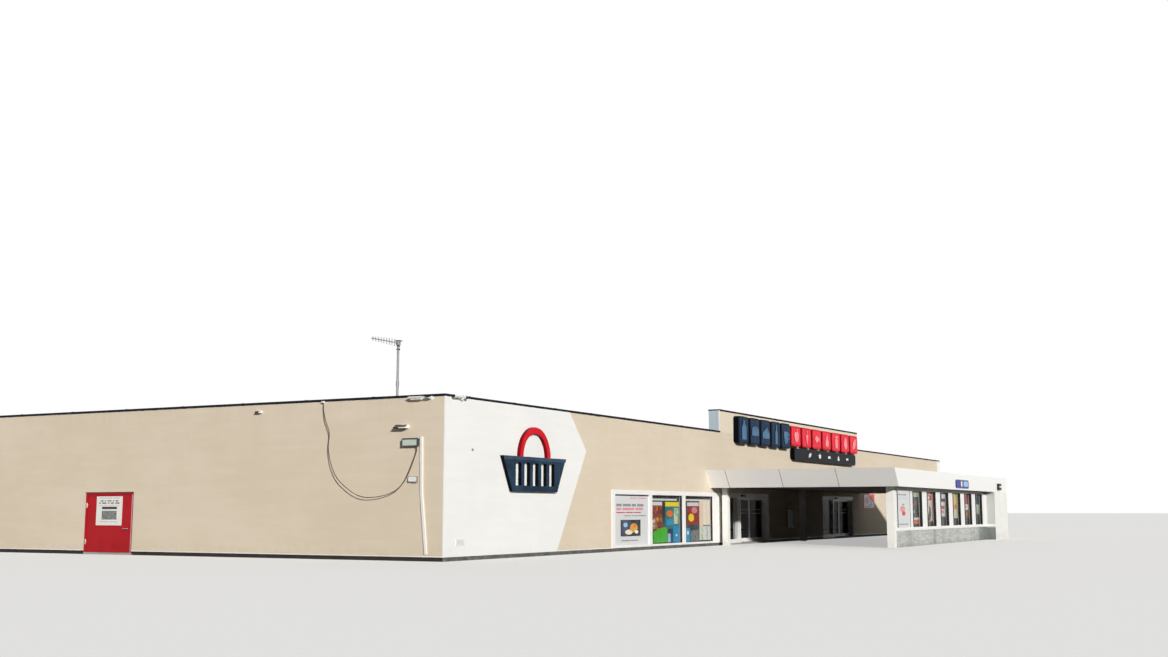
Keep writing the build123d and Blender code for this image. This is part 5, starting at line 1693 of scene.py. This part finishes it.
@dataclass
class DoorSet(Assembly):
    """One set of sliding doors with its frame, leaves, gaskets and safety marks."""

    name: str = "door_1"
    mark_height: float = 0.62
    mark_inset: float = 0.1

    def build(self) -> None:
        """Dress the frame and both leaves, and add the rubber and the marks."""
        self.dress(**{f"{self.name}_frame": "white_sheet"})
        for side in ("left", "right"):
            body = f"{self.name}_{side}"
            self.dress(**{f"{body}_leaf": "white_sheet", f"{body}_glass": "door_glass"})
            self._leaf(body)

    def _leaf(self, body: str) -> None:
        """Add a leaf's gaskets on both faces, and the two safety marks on its glass."""
        low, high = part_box(f"{body}_glass")
        lines = Form()
        gasket(lines, low, high, low.y)
        gasket(lines, low, high, high.y, depth=-0.004)
        lines.piece(f"{body}_gaskets", self.stock["rubber"], "cable_rubber", body)
        marks = Form()
        inset = self.mark_inset
        for level in (low.z + self.mark_height, low.z + self.mark_height + 0.1):
            marks.plate((low.x + inset, low.y - 0.0008, level), (high.x - inset, low.y, level + 0.022))
        marks.piece(f"{body}_safety_marks", self.stock["frosted_film"], "white_metal", body)


@dataclass
class SideDoor(Assembly):
    """The red side door with its notice board, hinges and handle."""

    drip_proud: float = 0.014
    drip_past: float = 0.006
    strip_reach: Flat = (0.012, 0.038)
    ink_depth: float = 0.0012

    def build(self) -> None:
        """Dress the door and add the frame's trim and the board's plain print."""
        self.dress(side_door_frame="red_sheet", side_door_leaf="red_sheet", side_door_board="white_plastic")
        self._trim()
        self._print()

    def _trim(self) -> None:
        """Add the drip bar over the frame and a line down the edge of its near jamb, both dark as painted
        shadow lines, and the pale strip on that jamb.
        """
        low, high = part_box("side_door_frame")
        face = self.site.left
        past = self.drip_past
        under = high.z - 0.012
        end = (face, high.y + past, high.z + 0.004)
        # Painted shadow: the drip bar over the door and the line down the jamb's edge are dark as the shadow
        # lines there.
        drip = Form().plate((face - self.drip_proud, low.y - past, under), end, 0.002)
        drip.plate((face - 0.006, low.y, low.z), (face, low.y + 0.010, under))
        drip.piece("side_door_drip", self.stock["dark_plastic"], "coping_metal")
        near, far = self.strip_reach
        strip = Form().plate((face - 0.004, low.y + near, low.z), (face, low.y + far, high.z - 0.050), 0.001)
        strip.piece("side_door_strip", self.stock["pink_print"], "white_metal")

    def _print(self) -> None:
        """Add the plain bars and the picture on the notice board."""
        low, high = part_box("side_door_board")
        width, height = high.y - low.y, high.z - low.z
        display = Display("side_board", self.stock)
        for mark in DOOR_MARKS:
            form = display.forms.setdefault(mark.ink, Form())
            for (left, bottom), _, (right, top), _ in mark.outlines():
                near = (low.x - self.ink_depth, high.y - right * width, high.z - bottom * height)
                form.plate(near, (low.x, high.y - left * width, high.z - top * height))
        display.pieces("side_door")


@dataclass
class Canopy(Assembly):
    """The porch roof with its white fascia, boarded soffit and round-cornered posts."""

    board_pitch: float = 0.2
    board_gap: float = 0.008
    board_depth: float = 0.003
    board_margin: float = 0.03
    lean: float = 0.318
    first_joint: float = -4.579
    side_panel: float = 1.36
    strip_width: float = 0.016
    strip_proud: float = 0.0012
    strip_depth: float = 0.004

    def build(self) -> None:
        """Dress the porch and add the soffit's boards and the fascia's joint strips."""
        self.dress(front_fascia="fascia_sheet", side_fascia="fascia_sheet", canopy_deck="roofing_sheet")
        self.dress(canopy_soffit="soffit_sheet", porch_posts="pillar_render")
        self._boards()
        self._joints()

    def _boards(self) -> None:
        """Add the soffit's boards between the fascia and the wall."""
        low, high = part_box("canopy_soffit")
        near, far = low.y + self.board_margin, self.site.front - 0.02
        count = int((high.x - low.x - 0.4) / self.board_pitch)
        start = (low.x + 0.3, (near + far) / 2, low.z - self.board_depth / 2)
        size = (self.board_pitch - self.board_gap, far - near, self.board_depth)
        row = (count, (self.board_pitch, 0.0, 0.0))
        self.blocks.lay("soffit_boards", self.stock["soffit_sheet"], "soffit_metal", start, size, row)

    def _joints(self) -> None:
        """Add the cover strips over the joints of the leaning fascia."""
        low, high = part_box("front_fascia")
        foot = low.x + self.lean
        proud, depth = self.strip_proud, self.strip_depth
        outline = (
            (foot - proud, low.z),
            (foot + depth, low.z),
            (low.x + depth, high.z),
            (low.x - proud + 0.0002, high.z),
        )
        strips = Form()
        half = self.strip_width / 2
        for number in range(1, 4):
            middle = self.site.behind(self.first_joint + number * self.side_panel)
            strips.prism(outline, Facing.FRONT, middle - half, middle + half)
        strips.piece("fascia_joint_strips", self.stock["grey_sheet"], "white_metal")


@dataclass
class Screen(Assembly):
    """The glazed screen in front of the porch, on its stone base, with the end fin."""

    first: float = 13.490
    width: float = 0.827
    pitch: float = 1.383
    bottom: float = 0.452
    top: float = 1.314
    poster: Flat = (12.090, 13.186)
    back: float = -4.305
    poster_face: float = -4.380
    lining_face: float = -4.388
    course: float = 0.032
    slip_length: float = 0.24
    slip_proud: float = 0.006
    slip_gap: float = 0.004
    sill_height: float = 0.062
    sill_proud: float = 0.014

    def build(self) -> None:
        """Dress the screen, its base and the fin, and add the gaskets, displays and slips."""
        self.dress(screen_plinth="split_stone", screen_frame="screen_sheet")
        self.dress(screen_glass="window_glass", end_fin="fin_render")
        site = self.site
        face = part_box("screen_glass")[0].y
        lines = Form()
        display = Display("screen_display", self.stock)
        for number, (pane, board) in enumerate(zip(self._panes(), SCREEN_BOARDS)):
            glaze(lines, pane, face, site.behind(self.lining_face))
            display.fill(pane, board, site.behind(self.back if number else self.poster_face))
        lines.piece("screen_gaskets", self.stock["rubber"], "cable_rubber")
        self._slips()
        display.pieces()

    def _panes(self) -> list[Pane]:
        """Return the left, bottom, right and top of each window of the screen."""
        left, right = self.poster
        panes = [(self.site.along(left), self.bottom, self.site.along(right), self.top)]
        for number in range(6):
            left = self.site.along(self.first + number * self.pitch)
            panes.append((left, self.bottom, left + self.width, self.top))
        return panes

    def _slips(self) -> None:
        """Lay the stone slips of the base and of the fin's near side, with a sill over the latter."""
        low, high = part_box("screen_plinth")
        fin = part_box("end_fin")[0]
        slip, course = self.slip_length, self.course
        part = (low.y - fin.y) / 2
        proud, tall = self.slip_proud, course - self.slip_gap
        stone = self.stock["split_stone"]
        rows = (int((high.z - low.z) / course), (0.0, 0.0, course))
        columns = (int((high.x - low.x) / slip) - 1, (slip, 0.0, 0.0))
        start = (low.x + slip / 2, low.y, low.z + course / 2)
        size = (slip - self.slip_gap, proud, tall)
        chance = {"stagger": (slip / 2, 0.0, 0.0), "chance": (0.002, 0.008, 0.001)}
        self.blocks.lay("screen_stone_slips", stone, "plinth_stone", start, size, columns, rows, **chance)
        start = (fin.x, fin.y + part / 2, low.z + course / 2)
        size = (proud, part - self.slip_gap, tall)
        chance = {"chance": (0.008, 0.002, 0.001)}
        columns = (2, (0.0, part, 0.0))
        self.blocks.lay("fin_stone_slips", stone, "plinth_stone", start, size, columns, rows, **chance)
        far_corner = (fin.x, low.y, high.z + self.sill_height)
        sill = Form().plate((fin.x - self.sill_proud, fin.y + 0.004, high.z), far_corner, 0.002)
        sill.piece("fin_sill", self.stock["white_sheet"], "white_metal")


@dataclass
class Aerial(Assembly):
    """The roof aerial with the sleeves of its rods and its dark clamp."""

    rod_count: int = 9
    rod_pitch: float = 0.08
    rod_radius: float = 0.0075
    shortest: float = 0.080
    longer: float = 0.006
    boom_below_top: float = 0.065
    mast_past_boom: float = 0.79
    clamp: float = 0.07
    clamp_half: float = 0.042
    band: float = 0.010
    band_drops: Flat = (0.090, 0.150)

    def build(self) -> None:
        """Dress the aerial and add its rods' sleeves and its clamp's bands."""
        self.dress(roof_aerial="zinc_coated_steel")
        low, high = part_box("roof_aerial")
        middle = (low.y + high.y) / 2
        boom = high.z - self.boom_below_top
        sleeves = Form()
        for number in range(self.rod_count):
            across = low.x + (number + 0.5) * self.rod_pitch
            half = (self.shortest + number * self.longer) / 2
            sleeves.rod((across, middle, boom - half), (across, middle, boom + half), self.rod_radius, 12)
        sleeves.piece("aerial_rods", self.stock["zinc_coated_steel"], "aluminium", smooth=True)
        mast = low.x + self.mast_past_boom
        top = boom + self.clamp / 2
        half, band = self.clamp_half, self.band
        end = (mast + 0.075, middle + half, top + 0.014)
        clamp = Form().plate((mast - half, middle - half, top), end, 0.003)
        for drop in self.band_drops:
            low_end, high_end = top - drop - band, top - drop + band
            clamp.rod((mast, middle, low_end), (mast, middle, high_end), 0.030, 24)
            clamp.plate((mast, middle - 0.012, low_end), (mast + 0.048, middle + 0.012, high_end), 0.002)
        clamp.piece("aerial_clamp", self.stock["dark_plastic"], "black_plastic", smooth=True)


@dataclass
class Fittings(Assembly):
    """The lamps, cameras, boxes and trunking on the walls, the porch and the fascia."""

    flood: Pane = (0.505, 1.930, 0.830, 2.057)
    flood_off: float = 0.074
    flood_rim: float = 0.012
    flood_ribs: int = 9
    flood_fins: int = 8
    lid: Pane = (0.533, 1.333, 0.702, 1.416)
    lid_off: float = 0.036
    screw_inset: float = 0.012
    gland_off: float = 0.018
    covers: tuple[Flat, ...] = (
        (0.459, 2.070), (0.4495, 1.640), (0.439, 1.137), (0.3855, 0.620), (0.336, 0.136)
    )
    vent: Pane = (0.380, 0.260, 0.624, 0.354)
    hood: Flat = (0.40, 0.69)
    hood_off: Flat = (0.030, 0.108)
    board: Pane = (24.13, 0.91, 25.33, 1.385)
    board_depth: float = 0.014

    def build(self) -> None:
        """Dress the fittings of both walls and add their small parts."""
        self.dress(side_fittings="side_fitting_plastic", front_fittings="front_fitting_plastic")
        self._floodlight()
        self._junction_box()
        self._trunking()
        self._vent()
        self._badge()
        self._wall_board()
        self._camera_hood()

    def _floodlight(self) -> None:
        """Add the floodlight's pane, its reflector ribs and its cooling fins."""
        near, low, far, high = self.flood
        site, rim = self.site, self.flood_rim
        face = site.left - self.flood_off + 0.010
        start, end = site.behind(near + rim), site.behind(far - rim)
        pane = Form().plate((face - 0.003, start, low + rim), (face, end, high - rim), 0.001)
        rim += 0.006
        for number in range(self.flood_ribs):
            middle = start + (end - start) * (number + 0.5) / self.flood_ribs
            corner = (face - 0.006, middle - 0.012, low + rim)
            pane.plate(corner, (face - 0.002, middle + 0.012, high - rim), 0.002)
        pane.piece("floodlight_pane", self.stock["lamp_lens"], "fitting_plastic")
        fins = Form()
        for number in range(self.flood_fins):
            middle = site.behind(near + (far - near) * (number + 0.5) / self.flood_fins)
            corner = (site.left - 0.066, middle - 0.003, high)
            fins.plate(corner, (site.left - 0.022, middle + 0.003, high + 0.012))
        fins.piece("floodlight_fins", self.stock["dark_plastic"], "fitting_plastic")

    def _junction_box(self) -> None:
        """Add the junction box's lid, its screws and its cable glands."""
        site, inset = self.site, self.screw_inset
        face = site.left - self.lid_off
        near, low, far, high = site.behind(self.lid[0]), self.lid[1], site.behind(self.lid[2]), self.lid[3]
        lid = Form().prism(rounded(near, low, far, high, 0.01), Facing.SIDE, face - 0.004, face, 0.0015)
        lid.piece("junction_lid", self.stock["white_plastic"], "fitting_plastic")
        screws = Form()
        for across in (near + inset, far - inset):
            for up in (low + inset, high - inset):
                screws.rod((face - 0.0055, across, up), (face - 0.003, across, up), 0.005, 12)
        off = site.left - self.gland_off
        for across in (0.56, 0.62):
            place = site.behind(across)
            screws.rod((off, place, 1.323), (off, place, 1.303), 0.011, 14, 0.008)
        screws.piece("junction_fasteners", self.stock["grey_plastic"], "fitting_plastic", smooth=True)

    def _trunking(self) -> None:
        """Add the trunking's joint covers, which follow its slant."""
        form = Form()
        left = self.site.left
        for behind, height in self.covers:
            middle = self.site.behind(behind)
            corner = (left - 0.0265, middle - 0.025, height - 0.018)
            form.plate(corner, (left, middle + 0.025, height + 0.018), 0.002)
        form.piece("trunking_covers", self.stock["white_plastic"], "fitting_plastic")

    def _vent(self) -> None:
        """Add the dark gaps behind the vent's slots."""
        near, low, far, high = self.vent
        front = self.site.front
        corner = (self.site.along(near), front - 0.0092, low)
        gaps = Form().plate(corner, (self.site.along(far), front - 0.008, high))
        gaps.piece("vent_gaps", self.stock["frosted_film"], "fitting_plastic")

    def _camera_hood(self) -> None:
        """Add the long camera's sun shield and the ribbed joint behind it."""
        left = self.site.left
        near, far = left - self.hood_off[0], left - self.hood_off[1]
        start, end = self.site.behind(self.hood[0]), self.site.behind(self.hood[1])
        shield = Form().plate((far, start, 2.768), (near, end, 2.773), 0.001)
        for across in (far, near - 0.002):
            shield.plate((across, start, 2.748), (across + 0.002, end, 2.770))
        shield.piece("camera_hood", self.stock["white_plastic"], "fitting_plastic")
        joint = Form()
        for number in range(4):
            place = self.site.behind(0.286 + number * 0.022)
            joint.rod((left - 0.066, place, 2.738), (left - 0.066, place + 0.012, 2.738), 0.019, 16)
        joint.piece("camera_joint", self.stock["grey_plastic"], "fitting_plastic", smooth=True)

    def _wall_board(self) -> None:
        """Add the poster board on the wall beyond the porch."""
        near, low, far, high = self.board
        display = Display("wall_board", self.stock, board_depth=self.board_depth)
        pane = (self.site.along(near), low, self.site.along(far), high)
        display.fill(pane, WALL_BOARD, self.site.front - self.board_depth)
        display.pieces()

    def _badge(self) -> None:
        """Add the pale disc and the light band on the fascia's plain blue badge."""
        along = self.site.along
        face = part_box("front_fascia")[0].y - 0.024
        circle = oval(along(17.62), 1.553, 0.085, 0.085, 24)
        disc = Form().prism(circle, Facing.FRONT, face - 0.003, face, 0.001)
        disc.piece("badge_disc", self.stock["cream_print"], "white_metal")
        outline = rounded(along(17.86), 1.484, along(18.36), 1.622, 0.05)
        band = Form().prism(outline, Facing.FRONT, face - 0.002, face, 0.001)
        band.piece("badge_band", self.stock["sky_print"], "navy_plastic")


@dataclass
class Cable(Assembly):
    """The cable that hangs on the left wall, from the coping's box to the floodlight."""

    diameter: float = 0.014
    length: float = 3.654
    route: tuple[Point, ...] = (
        *((0.024, 2.588, 2.740), (0.024, 2.588, 2.650), (0.050, 2.540, 2.530), (0.066, 2.494, 2.420)),
        *((0.068, 2.440, 2.316), (0.056, 2.404, 2.190), (0.026, 2.444, 2.070), (0.048, 2.434, 1.968)),
        *((0.062, 2.410, 1.866), (0.074, 2.376, 1.762), (0.080, 2.342, 1.660), (0.084, 2.290, 1.562)),
        *((0.088, 2.234, 1.462), (0.092, 2.160, 1.376), (0.096, 2.060, 1.298), (0.099, 1.950, 1.222)),
        *((0.098, 1.832, 1.150), (0.100, 1.706, 1.098), (0.100, 1.574, 1.070), (0.098, 1.440, 1.066)),
        *((0.094, 1.308, 1.078), (0.088, 1.180, 1.098), (0.082, 1.060, 1.128), (0.076, 0.950, 1.172)),
        *((0.072, 0.856, 1.236), (0.070, 0.776, 1.316), (0.070, 0.708, 1.412), (0.068, 0.650, 1.520)),
        *((0.060, 0.604, 1.636), (0.050, 0.566, 1.752), (0.040, 0.534, 1.846), (0.040, 0.534, 1.906)),
    )

    def build(self) -> None:
        """Hang the cable along its route."""
        curve = bpy.data.curves.new("wall_cable_run", "CURVE")
        curve.dimensions = "3D"
        curve.bevel_depth = self.diameter / 2
        curve.bevel_resolution = 3
        curve.resolution_u = 8
        curve.use_fill_caps = True
        curve.materials.append(self.stock["cable_sheath"])
        site = self.site
        places = [(site.left - off, site.behind(behind), height) for off, behind, height in self.route]
        line = curve.splines.new("NURBS")
        line.points.add(len(places) - 1)
        for point, place in zip(line.points, places):
            point.co = (*place, 1.0)
        line.order_u = 3
        line.use_endpoint_u = True
        made = place_in_scene("wall_cable_run", curve)
        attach(made, BUILDING)
        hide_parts("wall_cable")
        log.info("hung %s, %.3f m long", made.name, self.length)


@dataclass
class Studio:
    """The camera, the lamps, the floor and the world around the building."""

    focal_pixels: float = 1325.4
    place: Point = (-35.847, -21.683, 0.845)
    heading: float = math.radians(28.362)
    pitch: float = math.radians(7.822)
    sun_direction: Point = (0.95, 1.12, -0.42)
    sun_strength: float = 3.55
    sun_colour: Point = (1.0, 0.972, 0.93)
    sun_softness: float = math.radians(2.2)
    sky_strength: float = 0.13
    sky: Colour = paint(240, 246, 255)
    fill_strength: float = 1.0
    fill_direction: Point = (0.66, 0.73, 0.18)
    floor_reach: float = 420.0
    floor_colour: Colour = paint(142, 139, 133)
    floor_seen: Colour = paint(184, 183, 180)
    floor_glow: Colour = paint(178, 177, 175)

    def build(self) -> None:
        """Set up the camera, the light and the floor."""
        self._camera()
        self._lamp()
        self._world()
        self._floor()
        bpy.context.scene.view_settings.view_transform = "Standard"

    def _camera(self) -> None:
        """Place the camera where the photograph was taken from."""
        data = bpy.data.cameras.new("view")
        data.sensor_width = SENSOR_WIDTH
        data.lens = self.focal_pixels / IMAGE_WIDTH * SENSOR_WIDTH
        data.clip_end = 900.0
        camera = place_in_scene("view", data)
        level = math.cos(self.pitch)
        look = Vector((math.cos(self.heading) * level, math.sin(self.heading) * level, math.sin(self.pitch)))
        camera.rotation_euler = look.to_track_quat("-Z", "Y").to_euler()
        camera.location = self.place
        bpy.context.scene.camera = camera

    def _lamp(self) -> None:
        """Add the far and soft main lamp."""
        data = bpy.data.lights.new("main_lamp", "SUN")
        data.energy = self.sun_strength
        data.angle = self.sun_softness
        data.color = self.sun_colour
        lamp = place_in_scene("main_lamp", data)
        lamp.rotation_euler = Vector(self.sun_direction).to_track_quat("-Z", "Y").to_euler()

    def _shown(self, shader: Shader) -> Signal:
        """Return 1 for the rays that see the backdrop itself: from the camera, a mirror or glass."""
        kinds = ("Is Camera Ray", "Is Glossy Ray", "Is Transmission Ray")
        camera, glossy, glass = (shader.node("LightPath", {}, {}, kind) for kind in kinds)
        return camera + glossy + glass > 0.5

    def _world(self) -> None:
        """Light the scene evenly, with a soft fill from behind, and show a white background."""
        shader = Shader("studio", world=True)
        sockets = {0: shader.place, 1: self.fill_direction}
        towards = shader.node("VectorMath", {"operation": "DOT_PRODUCT"}, sockets, "Value")
        strength = towards.fade(0.1, 0.95) * self.fill_strength + self.sky_strength
        lit = shader.node("Background", {}, {"Color": self.sky, "Strength": strength})
        white = shader.node("Background", {}, {"Color": (1.0, 1.0, 1.0, 1.0), "Strength": 1.0})
        both = shader.node("MixShader", {}, {0: self._shown(shader), 1: lit, 2: white})
        shader.tree.links.new(both.socket, shader.output.inputs[0])
        bpy.context.scene.world = shader.material

    def _floor(self) -> None:
        """Lay the plain pale floor."""
        shader = Shader("studio_floor")
        shown = self._shown(shader)
        colour = shader.blend(shown, self.floor_colour, self.floor_seen)
        glow = shader.blend(shown, paint(0, 0, 0), self.floor_glow)
        look = {"Specular_IOR_Level": 0.0, "Emission_Color": glow, "Emission_Strength": 1.0}
        reach = self.floor_reach
        slab = Form().plate((-reach, -reach, -0.6), (reach, reach, 0.0))
        floor = slab.thing("studio_floor", shader.finish(colour, 0.9, **look))


def main() -> None:
    """Build the studio and the building in order."""
    logging.basicConfig(level=logging.INFO, format="%(name)s: %(message)s")
    site = Site.from_frame()
    kit = (site, mix_finishes(site), Repeat("blocks_in_rows"))
    Studio().build()
    Cable(*kit).build()
    Hall(*kit).build()
    CornerPanel(*kit).build()
    SignBoard(*kit).build()
    ShopWindow(*kit).build()
    Assembly(*kit).dress(side_light_glass="window_glass", door_tracks="drawn_aluminium")
    DoorSet(*kit, "door_1").build()
    DoorSet(*kit, "door_2").build()
    SideDoor(*kit).build()
    Canopy(*kit).build()
    Screen(*kit).build()
    Aerial(*kit).build()
    Fittings(*kit).build()


if __name__ == "__main__":
    main()
